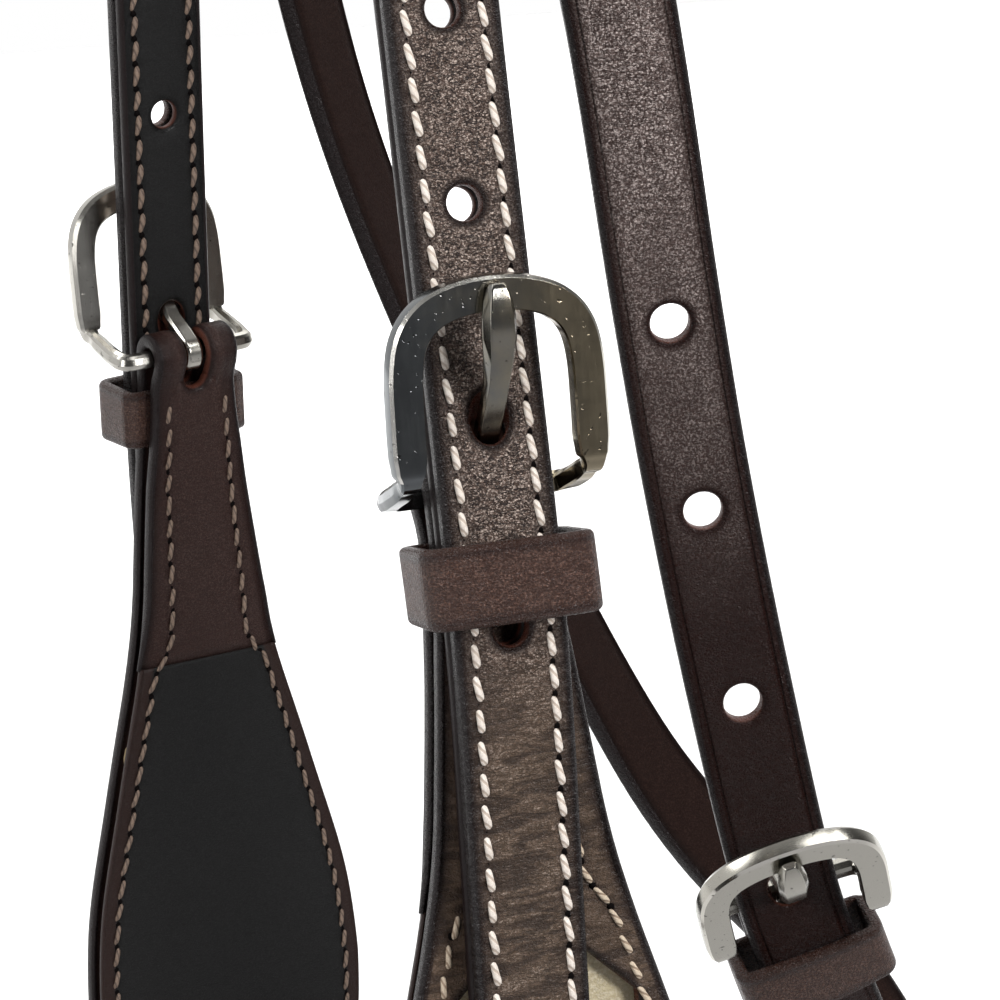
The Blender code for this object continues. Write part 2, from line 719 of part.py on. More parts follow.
def build_bit_strap(side, tag, group):
    """The strap that loops round the bit's ring, its two ends behind the cheek's lining."""
    centre_out = (BIT_FRONT_MID + BIT_BACK_MID) / 2
    radius = BIT_RADIUS + BIT_PLY / 2
    ends = [BIT_TOP + BIT_END_ROUND * share for share in END_SHARES[::-1]]
    legs = ends + stations(BIT_TOP + BIT_END_ROUND, CHEEK_LENGTH + SEAT_GAP, STATION_CHEEK)[1:]
    path = [(below, BIT_FRONT_MID) for below in legs]
    for k in range(LOOP_STEPS + 1):
        angle = BIT_LOOP_START + 2 * (math.pi - BIT_LOOP_START) * k / LOOP_STEPS
        path.append((BIT_CENTRE - radius * math.cos(angle), centre_out + radius * math.sin(angle)))
    path += [(below, BIT_BACK_MID) for below in reversed(legs)]
    spine = []
    for below, outward in path:
        half = round_end(below - BIT_TOP, STRAP_HALF, BIT_END_ROUND)
        spine.append((below, outward, half, BIT_PLY))
    place = side_place(side, cheek_lean(side))
    return strap(tag + "_bit_strap", spine, place, group, "brown_leather")


def turned(name, profile, matrix, group, material):
    """A turned piece: the profile is radius and height, down its outer side."""
    mesh = bpy.data.meshes.new(name)
    mesh.from_pydata([(radius, 0.0, height) for radius, height in profile],
                     [(k, k + 1) for k in range(len(profile) - 1)], [])
    obj = bpy.data.objects.new(name, mesh)
    group.objects.link(obj)
    mesh.materials.append(finish(material))
    screw = obj.modifiers.new("turn", "SCREW")
    screw.steps = TURN_STEPS
    screw.render_steps = TURN_STEPS
    screw.use_merge_vertices = True
    screw.merge_threshold = MERGE
    screw.use_smooth_shade = True
    obj.matrix_world = matrix @ Matrix.Rotation(math.pi / 2, 4, "Y")
    return obj


def build_screw(name, matrix, group):
    """A binding screw: a flanged post from behind and a capped screw in its bore."""
    face = PLY_IN + PLY
    back = BIT_BACK_MID - BIT_PLY / 2 - SEAT_GAP
    post_top = face - SEAT_GAP
    bore_floor = back + POST_RADIUS
    post = (
        (0.0, bore_floor), (POST_BORE, bore_floor), (POST_BORE, post_top), (POST_RADIUS, post_top),
        (POST_RADIUS, back), (HEAD_RADIUS, back), (HEAD_RADIUS, back - HEAD_HEIGHT / 2),
        (HEAD_RADIUS - HEAD_RIM, back - HEAD_HEIGHT), (0.0, back - HEAD_HEIGHT),
    )
    low = face + SEAT_GAP
    dome = [(HEAD_RADIUS * wide, low + HEAD_HEIGHT * high) for wide, high in DOME_SHARES]
    cap = [(0.0, low + HEAD_HEIGHT)] + dome
    cap += [(HEAD_RADIUS, low + HEAD_RIM), (HEAD_RADIUS, low), (CAP_SHANK, low),
            (CAP_SHANK, bore_floor + 2 * SEAT_GAP), (0.0, bore_floor + 2 * SEAT_GAP)]
    turned(name + "_screw_post", post, matrix, group, "nickel")
    turned(name + "_screw_cap", cap, matrix, group, "nickel")


def build_side_buckle(side, tag, group):
    matrix = side_matrix(side) @ Matrix.Rotation(SIDE_TILT, 4, "Y")
    depth = CROWN_OUT + SEAT_GAP
    build_frame(tag + "_buckle", matrix, depth, group)
    build_tongue(tag + "_tongue", matrix, depth, group)
    build_keeper(tag + "_keeper", side_place(side, cheek_lean(side)), PLY_IN, CROWN_OUT, group)


def brow_path():
    """The browband's middle line on the near side, as y and x, from its lap end to the front."""
    outside = CROWN_RADIUS + CROWN_OUT - CROWN_IN + BROW_CLEARANCE + BROW_PLY / 2
    inside = CROWN_RADIUS - BROW_CLEARANCE - BROW_PLY / 2
    back = THROAT_BESIDE + STRAP_HALF + BROW_CLEARANCE + BROW_PLY / 2
    front = -STRAP_HALF - BROW_CLEARANCE - BROW_PLY / 2
    lapped = outside - BROW_PLY - SEAT_GAP
    turn = BROW_PLY
    path = [(front - BROW_LAP, lapped), (front - turn * 3, lapped), (front, inside)]
    path += [(y, inside) for y in stations(front + turn, back - turn, STATION_STRAIGHT)]
    for k in range(1, BROW_TURN_STEPS):
        angle = math.pi / 2 * k / BROW_TURN_STEPS
        path.append((back - turn + turn * math.sin(angle), inside + turn - turn * math.cos(angle)))
    for k in range(BROW_TURN_STEPS):
        angle = math.pi / 2 * k / BROW_TURN_STEPS
        path.append((back - turn + turn * math.cos(angle), outside - turn + turn * math.sin(angle)))
    straight_end = front - BROW_LAP - turn
    path += [(y, outside) for y in stations(back - turn, straight_end, STATION_STRAIGHT)]
    return path, outside, straight_end


def brow_arc(outside, start, inset=0.0):
    """Half of the curve across the forehead, from the near side to the middle."""
    rows = []
    for k in range(1, BROW_STEPS + 1):
        angle = math.pi / 2 * k / BROW_STEPS
        rows.append((start - (BROW_FRONT + start - inset) * math.sin(angle),
                     (outside - inset) * math.cos(angle)))
    return rows


def brow_place(along, across, outward):
    return Vector((outward, along, -BROW_DROP + across))


def build_browband(group):
    near, outside, start = brow_path()
    near += brow_arc(outside, start)
    path = near + [(y, -x) for y, x in reversed(near[:-1])]
    half = BROW_WIDTH / 2
    strap("browband", [(y, x, half, BROW_PLY) for y, x in path], brow_place, group, "brown_leather")
    inset = BROW_PLY / 2 + SEAT_GAP + BROW_LINING / 2
    near = [(start, outside - inset)] + brow_arc(outside, start, inset)
    path = near + [(y, -x) for y, x in reversed(near[:-1])]
    strap("browband_lining", [(y, x, half - LINING_MARGIN, BROW_LINING) for y, x in path],
          brow_place, group, "black_lining")


def throat_route():
    """Points and outward ways all round the throatlatch's line, from the near side down."""
    radius = MASTER_RADIUS
    scale = Vector((radius, THROAT_BACK, THROAT_DROP))
    knots = [(Vector((radius, THROAT_BESIDE, -THROAT_START)), Vector((1, 0, 0)))]
    for share, way in THROAT_ROUTE_SHARES:
        knots.append((Vector(share) * scale, Vector(way)))
    knots.append((Vector((-radius, THROAT_BESIDE, -THROAT_START)), Vector((-1, 0, 0))))
    rise = Vector((0, 0, THROAT_START / 3))
    first = (knots[0][0] + rise, knots[0][1])
    final = (knots[-1][0] + rise, knots[-1][1])
    knots = [first] + knots + [final]
    points, ways = [], []
    for k in range(1, len(knots) - 2):
        p0, p1, p2, p3 = (knots[k + j][0] for j in (-1, 0, 1, 2))
        for j in range(ROUTE_STEPS):
            u = j / ROUTE_STEPS
            points.append(0.5 * (2 * p1 + (p2 - p0) * u + (2 * p0 - 5 * p1 + 4 * p2 - p3) * u ** 2
                                 + (3 * p1 - p0 - 3 * p2 + p3) * u ** 3))
            ways.append(knots[k][1] * (1 - u) + knots[k + 1][1] * u)
    for z in stations(-THROAT_START, -CROWN_IN - radius, STATION_STRAIGHT):
        points.append(Vector((-radius, THROAT_BESIDE, z)))
        ways.append(Vector((-1, 0, 0)))
    for k in range(1, ARCH_STEPS):
        angle = math.pi * k / ARCH_STEPS
        points.append(Vector((-radius * math.cos(angle), THROAT_BESIDE,
                              -CROWN_IN - radius + radius * math.sin(angle))))
        ways.append(Vector((-math.cos(angle), 0, math.sin(angle))))
    for z in stations(-CROWN_IN - radius, -THROAT_START, STATION_STRAIGHT)[:-1]:
        points.append(Vector((radius, THROAT_BESIDE, z)))
        ways.append(Vector((1, 0, 0)))
    return points, ways


class ThroatLine:
    """The closed hanging line of the throatlatch, measured downward from its heel bar."""

    def __init__(self):
        points, ways = throat_route()
        self.points = points + [points[0]]
        self.ways = ways + [ways[0]]
        gaps = [(b - a).length for a, b in zip(self.points, self.points[1:])]
        self.runs = np.concatenate(([0.0], np.cumsum(gaps)))
        self.length = float(self.runs[-1])

    def at(self, run):
        run = (run + THROAT_BAR_RUN) % self.length
        point = Vector([float(np.interp(run, self.runs, [p[k] for p in self.points]))
                        for k in range(3)])
        way = Vector([float(np.interp(run, self.runs, [w[k] for w in self.ways]))
                      for k in range(3)])
        return point, way

    def frame(self, run):
        point, way = self.at(run)
        tangent = (self.at(run + STATION_STRAIGHT / 2)[0]
                   - self.at(run - STATION_STRAIGHT / 2)[0]).normalized()
        out = (way - tangent * way.dot(tangent)).normalized()
        return point, out, out.cross(tangent), -tangent

    def place(self, along, across, outward):
        point, out, back, _ = self.frame(along)
        return point + back * across + out * outward


def build_throatlatch(group, cutters):
    line = ThroatLine()
    total = line.length
    billet_mid = CROWN_IN + THROAT_PLY / 2
    spine = [(below, outward, STRAP_HALF, thick)
             for below, outward, _, thick in fold_rows(THROAT_CHAPE, PLY, PLY_IN - SEAT_GAP)]
    reach = total + THROAT_BILLET
    runs = stations(STATION_FOLD, reach - BILLET_POINT, STATION_THROAT)
    runs += [reach - BILLET_POINT * share for share in POINT_SHARES]
    for run in runs:
        thicker = smooth_step((run - THROAT_BILLET - BILLET_POINT) / THROAT_THICKEN)
        outer = smooth_step((run - THROAT_BILLET - BILLET_POINT) / THROAT_SHIFT)
        thick = PLY + (THROAT_PLY - PLY) * thicker
        inner_mid = PLY_IN + thick / 2
        outward = inner_mid + (billet_mid - inner_mid) * outer
        spine.append((run, outward, billet_half(reach - run, STRAP_HALF), thick))
    latch = strap("throat_strap", spine, line.place, group, "brown_leather")

    point, out, _, up = line.frame(0.0)
    seat = seat_matrix(point, out, up)
    cut(latch, slot_cutter(seat, PLY_IN + PLY + SEAT_GAP / 2), "throat_slot", cutters)
    depth = CROWN_IN + THROAT_PLY + SEAT_GAP
    holes = bmesh.new()
    for k in range(-THROAT_HOLES_DOWN, THROAT_HOLES_UP + 1):
        if k != 0:
            run = -THROAT_TONGUE_UP - k * THROAT_HOLE_STEP
            spot, way, _, _ = line.frame(run)
            add_cylinder(holes, spot + way * billet_mid, way, THROAT_HOLE_RADIUS,
                         THROAT_PLY + SEAT_GAP)
    add_tongue_hole(holes, line.place, CROWN_IN, CROWN_IN + THROAT_PLY, depth, THROAT_TILT)
    cut(latch, holes, "throat_holes", cutters)

    tilted = seat @ Matrix.Rotation(THROAT_TILT, 4, "Y")
    build_frame("throat_buckle", tilted, depth, group)
    build_tongue("throat_tongue", tilted, depth, group)
    build_keeper("throat_keeper", line.place, PLY_IN, depth - SEAT_GAP, group)


def main():
    clear_scene()
    parts = collection("western_headstall")
    cutters = collection("headstall_cutters", hidden=True)
    build_crown(parts, cutters)
    for side, tag in ((1, "near"), (-1, "far")):
        build_cheek(side, tag, parts, cutters)
        build_side_buckle(side, tag, parts)
    build_browband(parts)
    build_throatlatch(parts, cutters)


main()
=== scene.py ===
# %% [markdown]
# # A western headstall, seen at its buckles
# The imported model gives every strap, buckle and keeper as a plain solid in its right place.
# This script dresses them: fine leather with burnished edges, punched holes and rows of
# twisted thread, and bevelled buckles. Nothing is moved, so each piece is built from the same
# lines on which the solids hang.

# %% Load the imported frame
import math
import bmesh
import bpy
import numpy as np
from mathutils import Matrix, Vector


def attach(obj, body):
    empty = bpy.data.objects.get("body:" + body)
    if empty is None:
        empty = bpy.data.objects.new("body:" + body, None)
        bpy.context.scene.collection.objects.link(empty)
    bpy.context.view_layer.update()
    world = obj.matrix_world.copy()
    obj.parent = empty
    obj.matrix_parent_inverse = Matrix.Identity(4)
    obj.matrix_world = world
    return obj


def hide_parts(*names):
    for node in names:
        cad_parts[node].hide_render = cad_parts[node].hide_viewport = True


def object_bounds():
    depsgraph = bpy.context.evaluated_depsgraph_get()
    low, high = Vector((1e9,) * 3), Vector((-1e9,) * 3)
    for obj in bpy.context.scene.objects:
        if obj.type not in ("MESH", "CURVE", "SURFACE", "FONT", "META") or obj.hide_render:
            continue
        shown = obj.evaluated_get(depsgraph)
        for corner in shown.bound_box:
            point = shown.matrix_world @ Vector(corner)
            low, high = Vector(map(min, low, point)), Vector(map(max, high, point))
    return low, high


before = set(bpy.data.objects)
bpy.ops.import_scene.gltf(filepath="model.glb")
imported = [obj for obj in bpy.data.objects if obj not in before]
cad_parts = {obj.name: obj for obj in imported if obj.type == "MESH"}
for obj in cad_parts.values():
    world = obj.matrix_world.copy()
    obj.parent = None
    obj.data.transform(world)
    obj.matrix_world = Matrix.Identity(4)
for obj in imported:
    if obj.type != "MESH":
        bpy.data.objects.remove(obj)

cad_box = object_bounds()

# %% [markdown]
# ## Sizes
# These are the model's own sizes, in metres. The origin is where the crown rests on the poll,
# the horse faces -Y and its near side is +X.

# %% The sizes that the pieces share
STRAP_WIDTH = 0.0159
STRAP_HALF = STRAP_WIDTH / 2
PLY = 0.0026
LINING = 0.0022
CHEEK_LINING = 0.0014
INLAY = 0.0009
THROAT_PLY = 0.0032
SEAT_GAP = 0.0003
CROWN_RADIUS = 0.060
BAR_X = 0.075
BAR_DROP = 0.275
FLARE_ANGLE = math.radians(9.5)
FLARE_RADIUS = 0.150
CHEEK_TURN = 0.034
NEAR_CHEEK_LEAN = 0.038
FAR_TWIST = math.radians(15.0)
TWIST_START = 0.120
TWIST_LENGTH = 0.110
BILLET_BELOW_BAR = 0.092
BILLET_POINT = 0.014
BILLET_TIP_HALF = 0.0022
HOLE_RADIUS = 0.00235
CHEEK_LENGTH = 0.228
CHEEK_HALF = 0.0277
CHEEK_END_ROUND = 0.0065
CHEEK_SPAN = CHEEK_LENGTH + 0.008
CHAPE_LENGTH = 0.056
CHAPE_SKIVE = 0.0012
BAR_RADIUS = 0.0016
PLY_IN = BAR_RADIUS + 0.0003
PLY_MID = PLY_IN + PLY / 2
CROWN_IN = PLY_IN + PLY + SEAT_GAP
CROWN_OUT = CROWN_IN + LINING + SEAT_GAP + PLY
MASTER_RADIUS = CROWN_RADIUS - CROWN_IN
ARCH_LENGTH = MASTER_RADIUS * math.pi / 2
FLARE_TURN_X = FLARE_RADIUS * (1 - math.cos(FLARE_ANGLE))
FLARE_RUN = (BAR_X - MASTER_RADIUS - FLARE_TURN_X) / math.sin(FLARE_ANGLE)
SIDE_RUN = (BAR_DROP - CROWN_IN - MASTER_RADIUS - FLARE_RADIUS * math.sin(FLARE_ANGLE)
            - FLARE_RUN * math.cos(FLARE_ANGLE))
BAR_LENGTH = ARCH_LENGTH + SIDE_RUN + FLARE_RADIUS * FLARE_ANGLE + FLARE_RUN
MM = 0.001
print("half the crown, poll to heel bar: %.1f mm" % (BAR_LENGTH / MM))

# %% [markdown]
# ## Camera
# The photograph is a close view with a long lens. The camera is placed from the buckle: the
# near heel bar lies at a known pixel, at a known distance, and the view comes from in front
# of the near side and a little above. A small roll makes the straps hang down to the right.

# %% The camera
VIEW_AZIMUTH = math.radians(70.5)
VIEW_ELEVATION = math.radians(11.38)
VIEW_ROLL = math.radians(3.33)
VIEW_DISTANCE = 0.4253
VIEW_FOCAL_PX = 3204.0
PHOTO_PX = 1000
BAR_PIXEL = (473.9, 491.8)


def add_camera():
    back = Vector((math.sin(VIEW_AZIMUTH) * math.cos(VIEW_ELEVATION),
                   -math.cos(VIEW_AZIMUTH) * math.cos(VIEW_ELEVATION),
                   math.sin(VIEW_ELEVATION)))
    level = (-back).cross(Vector((0, 0, 1))).normalized()
    rise = level.cross(-back)
    right = level * math.cos(VIEW_ROLL) - rise * math.sin(VIEW_ROLL)
    up = level * math.sin(VIEW_ROLL) + rise * math.cos(VIEW_ROLL)
    pixel = VIEW_DISTANCE / VIEW_FOCAL_PX
    bar = Vector((BAR_X, 0, -BAR_DROP))
    place = bar + back * VIEW_DISTANCE
    place -= right * (BAR_PIXEL[0] - PHOTO_PX / 2) * pixel
    place += up * (BAR_PIXEL[1] - PHOTO_PX / 2) * pixel
    data = bpy.data.cameras.new("view")
    data.sensor_width = 36.0
    data.lens = 36.0 * VIEW_FOCAL_PX / PHOTO_PX
    data.clip_start = 0.01
    camera = bpy.data.objects.new("view", data)
    camera.matrix_world = Matrix((
        (right.x, up.x, back.x, place.x), (right.y, up.y, back.y, place.y),
        (right.z, up.z, back.z, place.z), (0, 0, 0, 1)))
    bpy.context.scene.collection.objects.link(camera)
    bpy.context.scene.camera = camera
    return camera


camera = add_camera()
print("camera at", tuple(round(v, 3) for v in camera.location), "lens %.0f mm" % camera.data.lens)

# %% [markdown]
# ## Shader sums
# A material's pattern is easier to read as a sum than as a list of nodes. `Value` wraps one
# output socket and turns + - * into Math nodes. `Nodes` holds any tree, and its `node`
# method makes any other node. `Finish` is the tree of one material.

# %% Small classes for writing node trees


class Value:
    """A number that changes over the surface, with sums written as Math nodes."""

    def __init__(self, finish, socket):
        self.finish = finish
        self.socket = socket

    def sum(self, operation, first, second=None):
        given = {0: first} if second is None else {0: first, 1: second}
        return self.finish.value("ShaderNodeMath", {"operation": operation}, given)

    def __add__(self, other):
        return self.sum("ADD", self, other)

    def __sub__(self, other):
        return self.sum("SUBTRACT", self, other)

    def __mul__(self, other):
        return self.sum("MULTIPLY", self, other)

    def __rsub__(self, other):
        return self.sum("SUBTRACT", other, self)

    def __abs__(self):
        return self.sum("ABSOLUTE", self)

    __radd__ = __add__
    __rmul__ = __mul__

    def sine(self):
        return self.sum("SINE", self)

    def between(self, low, high):
        """Zero at low, one at high, smooth between them."""
        return self.finish.value(
            "ShaderNodeMapRange", {"interpolation_type": "SMOOTHSTEP"},
            {"Value": self, "From Min": low, "From Max": high, "To Min": 0.0, "To Max": 1.0})


class Nodes:
    """A node tree, and the one way in which a node is added to it."""

    def __init__(self, tree):
        self.tree = tree

    def node(self, kind, settings=None, given=None):
        node = self.tree.nodes.new(kind)
        for key, setting in (settings or {}).items():
            setattr(node, key, setting)
        for key, value in (given or {}).items():
            self.feed(node.inputs[key], value)
        return node

    def feed(self, socket, value):
        if isinstance(value, Value):
            value = value.socket
        if isinstance(value, bpy.types.NodeSocket):
            self.tree.links.new(value, socket)
        else:
            socket.default_value = value

    def output(self, kind, settings=None, given=None, output=0):
        return self.node(kind, settings, given).outputs[output]


class Finish(Nodes):
    """One material and the nodes that give it its look."""

    def __init__(self, name):
        self.material = bpy.data.materials.new(name)
        self.material.use_nodes = True
        super().__init__(self.material.node_tree)
        self.shader = self.tree.nodes["Principled BSDF"]

    def value(self, kind, settings=None, given=None, output=0):
        return Value(self, self.output(kind, settings, given, output))

    def place(self):
        return self.output("ShaderNodeTexCoord", output="Object")

    def axis(self, letter):
        """How far along one axis of the piece's own coordinates."""
        return self.value("ShaderNodeSeparateXYZ", None, {"Vector": self.place()}, letter)

    def attribute(self, name):
        return self.value("ShaderNodeAttribute", {"attribute_name": name}, None, "Fac")

    def stretched(self, scale, vector=None):
        return self.output("ShaderNodeMapping", None,
                           {"Vector": vector or self.place(), "Scale": scale})

    def noise(self, scale, detail=3.0, rough=0.5, vector=None, distortion=0.0):
        return self.value("ShaderNodeTexNoise", None, {
            "Vector": vector or self.place(), "Scale": scale, "Detail": detail,
            "Roughness": rough, "Distortion": distortion})

    def cells(self, scale, vector, feature, smooth=None):
        given = {"Vector": vector, "Scale": scale}
        if smooth is not None:
            given["Smoothness"] = smooth
        return self.value("ShaderNodeTexVoronoi", {"feature": feature}, given)

    def colour(self, mask, low, high):
        """A colour between two colours or colour sockets, by a mask."""
        mix = self.node("ShaderNodeMix", {"data_type": "RGBA"}, {"Factor": mask})
        sockets = [s for s in mix.inputs if s.type == "RGBA"]
        for socket, paint in zip(sockets, (low, high)):
            if isinstance(paint, tuple):
                paint = (*paint, 1.0)
            self.feed(socket, paint)
        return [s for s in mix.outputs if s.type == "RGBA"][0]

    def set(self, **given):
        for key, value in given.items():
            name = key.replace("_", " ").title().replace("Ior", "IOR")
            self.feed(self.shader.inputs[name], value)

    def bump(self, height, depth):
        bump = self.output("ShaderNodeBump", None, {"Height": height, "Distance": depth})
        self.feed(self.shader.inputs["Normal"], bump)


print("materials are written with", Value.__name__, "and", Finish.__name__)

# %% [markdown]
# ## Leather
# Bridle leather is dyed through and waxed. With age its grain cracks into a fine dark net, and
# a billet creases where it bends below its keeper. Pale wax in the open grain is painted
# together with a painted sheen, and on the throatlatch that sheen is painted on its upper part
# only. Along cut edges, beside the thread, round punched holes and in the troughs of the
# creases the leather is painted darker: the edges' own dark dye, and painted shade. The straps
# carry those distances as attributes in metres (`edge`, `seam` and `rim`), so one finish suits
# them all.

# %% The leathers
FOLD_HEIGHTS = (-0.310, -0.285)
FOLD_TINT = (0.160, 0.104, 0.062)
PUNCHED_RED = (0.150, 0.050, 0.032)
BROWN_RIM = (0.020, 0.010, 0.008)
SMOOTHEST = 0.20


def crack_net(f, spot, cell):
    """A bent net of cracks, and wrinkles where a slow noise crosses its middle value."""
    wander = f.output("ShaderNodeTexNoise", None,
                      {"Vector": spot, "Scale": 700.0, "Detail": 2.0}, "Color")
    bent = f.output("ShaderNodeVectorMath", {"operation": "MULTIPLY_ADD"},
                    {0: wander, 1: (cell, cell, cell), 2: spot})
    net = f.cells(0.60 / cell, f.stretched((1.0, 1.0, 2.0), bent), "DISTANCE_TO_EDGE")
    slow = f.noise(0.34 / cell, 3.0, 0.6, f.stretched((0.60, 0.60, 1.60)), 0.3)
    crack = 1 - net.between(0.04, 0.20)
    wrinkle = 1 - abs(slow - 0.5).between(0.004, 0.050)
    return (crack * 0.50 + wrinkle * 0.75).between(0.05, 0.95)


def leather(name, deep, base, bloom_and_sheen, roughness, cell=0.00036, relief=0.00010, crackle=0.8,
            edge_dark=(0.010, 0.006, 0.006), edge_wide=0.0030, gloss=0.25, crease=0.0, folds=0.0,
            rim_brown=False, sheen_heights=None):
    """deep is the darkest tone: cracks, and painted shade beside the thread, round holes and in
    creases; the pale colour is wax and a painted sheen where the grain stands open.
    """
    f = Finish(name)
    spot = f.place()
    up = f.axis("Z")
    crack = crack_net(f, spot, cell)
    pebble = f.cells(1.25 / cell, f.stretched((1.0, 1.0, 1.3)), "SMOOTH_F1", 0.4)
    pores = f.noise(1.2 / cell, 2.0, 0.65, spot)
    drift = f.noise(85.0, 3.0, 0.55, spot)
    cloud = f.noise(28.0, 2.0, 0.5, spot)
    from_edge, from_rim = f.attribute("edge"), f.attribute("rim")
    seam = f.attribute("seam").between(0.0002, 0.0020)
    rim = from_rim.between(0.0002, 0.0020)
    # Away from edges, thread and holes this mask is one; near them the colour falls to the deep
    # tone as painted shade, in the stitch grooves and the hole lips, and the painted sheen stays
    # off.
    unshaded_open_grain = from_edge.between(0.0008, edge_wide) * (seam * 0.80 + 0.20) * (rim * 0.90 + 0.10)
    # On the throatlatch the painted sheen is kept to the upper part, and lower down the colour is
    # the deep tone: a painted sheen that fades downward.
    if sheen_heights:
        unshaded_open_grain = unshaded_open_grain * (up + drift * 0.02).between(*sheen_heights)
    # The pale speckled colour stands for wax in the open grain together with a painted sheen.
    wax_and_sheen = (drift * 0.5 + cloud * 0.5).between(0.30, 0.56) * 0.4 + 0.6
    wax_and_sheen = unshaded_open_grain * wax_and_sheen * pores.between(0.47, 0.61)
    # Below the fold heights the painted sheen is taken out of the troughs of the creases.
    if folds:
        low = 1 - up.between(*FOLD_HEIGHTS)
        fold = f.noise(360.0, 3.0, 0.55, f.stretched((0.42, 0.42, 1.7)), 0.6)
        wax_and_sheen = wax_and_sheen * (1 - low * (1 - fold.between(0.46, 0.66)) * 0.85)
    tone = f.colour(unshaded_open_grain, deep, base)
    tone = f.colour(wax_and_sheen, tone, bloom_and_sheen)
    tone = f.colour(crack * crackle * (unshaded_open_grain * 0.7 + 0.3), tone, deep)
    # Below the fold heights the colour turns warmer, and the troughs of the creases get the deep
    # tone as painted shade.
    if folds:
        tone = f.colour(low * unshaded_open_grain * 0.40, tone, FOLD_TINT)
        tone = f.colour((1 - fold.between(0.38, 0.56)) * low * 0.62, tone, deep)
    tone = f.colour(from_edge.between(0.0003, 0.0011), edge_dark, tone)
    # A dark ring round each hole: painted shade in the punch's sunk lip.
    tone = f.colour(from_rim.between(0.0004, 0.0012), deep, tone)
    tone = f.colour(from_rim.between(-0.0002, 0.0003), PUNCHED_RED, tone)
    if rim_brown:
        tone = f.colour(from_edge.between(0.0022, 0.0030), BROWN_RIM, tone)
    rough = (unshaded_open_grain * 0.7 + 0.3) * (roughness - SMOOTHEST) + crack * 0.10 + SMOOTHEST
    f.set(base_color=tone, specular_ior_level=gloss, roughness=rough)
    height = pebble * 0.40 + pores * 0.60 - crack * 0.7 + drift * 0.8
    if folds:
        height = height + (fold - 0.5) * (low * folds * 2 + folds * 0.12)
    if crease:
        height = height - (1 - abs(from_edge - crease).between(0.0, 0.0003)) * 2.0
    f.bump(height, relief)
    return f.material


BROWN = leather("billet_leather", (0.012, 0.0050, 0.0034), (0.098, 0.062, 0.047),
                (0.470, 0.380, 0.325), 0.31, relief=0.00030, crackle=1.0, gloss=0.32,
                folds=2.6)
CHEEK_BROWN = leather("cheek_leather_finish", (0.016, 0.0080, 0.0060), (0.075, 0.048, 0.038),
                      (0.155, 0.115, 0.094), 0.36, relief=0.00022, crackle=0.85, gloss=0.28,
                      folds=1.8)
THROAT_BROWN = leather("throat_leather", (0.016, 0.0048, 0.0034), (0.145, 0.104, 0.093),
                       (0.600, 0.510, 0.475), 0.34, cell=0.00042, relief=0.00028, crackle=0.85,
                       edge_wide=0.0040, gloss=0.18, crease=0.0019, sheen_heights=(-0.300, -0.205))
KEEPER_BROWN = leather("keeper_leather_finish", (0.022, 0.0070, 0.0044), (0.047, 0.0185, 0.0115),
                       (0.135, 0.072, 0.052), 0.31, cell=0.00040, relief=0.00042, crackle=0.5,
                       edge_dark=(0.038, 0.016, 0.011), edge_wide=0.0022, gloss=0.36)
CHAPE_BROWN = leather("chape_leather", (0.013, 0.0050, 0.0040), (0.028, 0.0125, 0.0100),
                      (0.052, 0.030, 0.025), 0.45, crackle=0.4, gloss=0.18)
INNER_BROWN = leather("throat_inner_leather", (0.007, 0.0032, 0.0026), (0.013, 0.0062, 0.0050),
                      (0.026, 0.014, 0.011), 0.60, crackle=0.4, gloss=0.05)
BLACK_DYE = ((0.0030, 0.0028, 0.0028), (0.0062, 0.0060, 0.0060), (0.012, 0.012, 0.012))
BLACK = leather("lining_leather", *BLACK_DYE, 0.50, relief=0.00005, crackle=0.3, gloss=0.18)
RIMMED_BLACK = leather("cheek_lining_leather", *BLACK_DYE, 0.50, relief=0.00005, crackle=0.3,
                       gloss=0.18, rim_brown=True)
CREAM = leather("inlay_leather", (0.42, 0.34, 0.20), (0.60, 0.51, 0.33), (0.70, 0.62, 0.46),
                0.62, cell=0.00060, crackle=0.2, edge_dark=(0.30, 0.23, 0.13))
LEATHERS = (BROWN, CHEEK_BROWN, THROAT_BROWN, KEEPER_BROWN, CHAPE_BROWN, INNER_BROWN, BLACK,
            RIMMED_BLACK, CREAM)
print("leathers:", ", ".join(material.name for material in LEATHERS))

# %% [markdown]
# ## Metal
# The buckles are nickel plated and have dulled: grey, with fine scratches along the faces and
# small dark pits. Each buckle is painted slate on one side and olive, warmer, on the other: a
# painted reflection. The near buckle gets a darker copy of the nickel, a painted dark reflection
# of the room. The frames' outer bevel gets a bright material of its own: the plating worn
# bright where hands and straps rub, and a painted highlight.

# %% The metals


def nickel(name, cool, warm, roughness):
    """Polished nickel gone dull, painted slate on one side of the buckle and olive on the other: a
    painted reflection.
    """
    f = Finish(name)
    spot = f.place()
    haze = f.noise(260.0, 4.0, 0.6, spot)
    reflection_side = f.axis("Y")
    pits = f.noise(1300.0, 2.0, 0.5, spot).between(0.67, 0.72)
    scratch = f.noise(1800.0, 2.0, 0.5, f.stretched((1.0, 1.0, 0.06)))
    # Slate on one side, olive on the other: a painted reflection across the face.
    tone = f.colour((reflection_side + (haze - 0.5) * 0.02).between(-0.012, 0.014), cool, warm)
    tone = f.colour(pits * 0.7, tone, (0.03, 0.026, 0.022))
    f.set(base_color=tone, metallic=1.0,
          roughness=haze * 0.12 + scratch * 0.06 + (roughness - 0.09))
    f.bump(scratch * 0.5 + haze * 0.6 - pits, 0.000012)
    return f.material


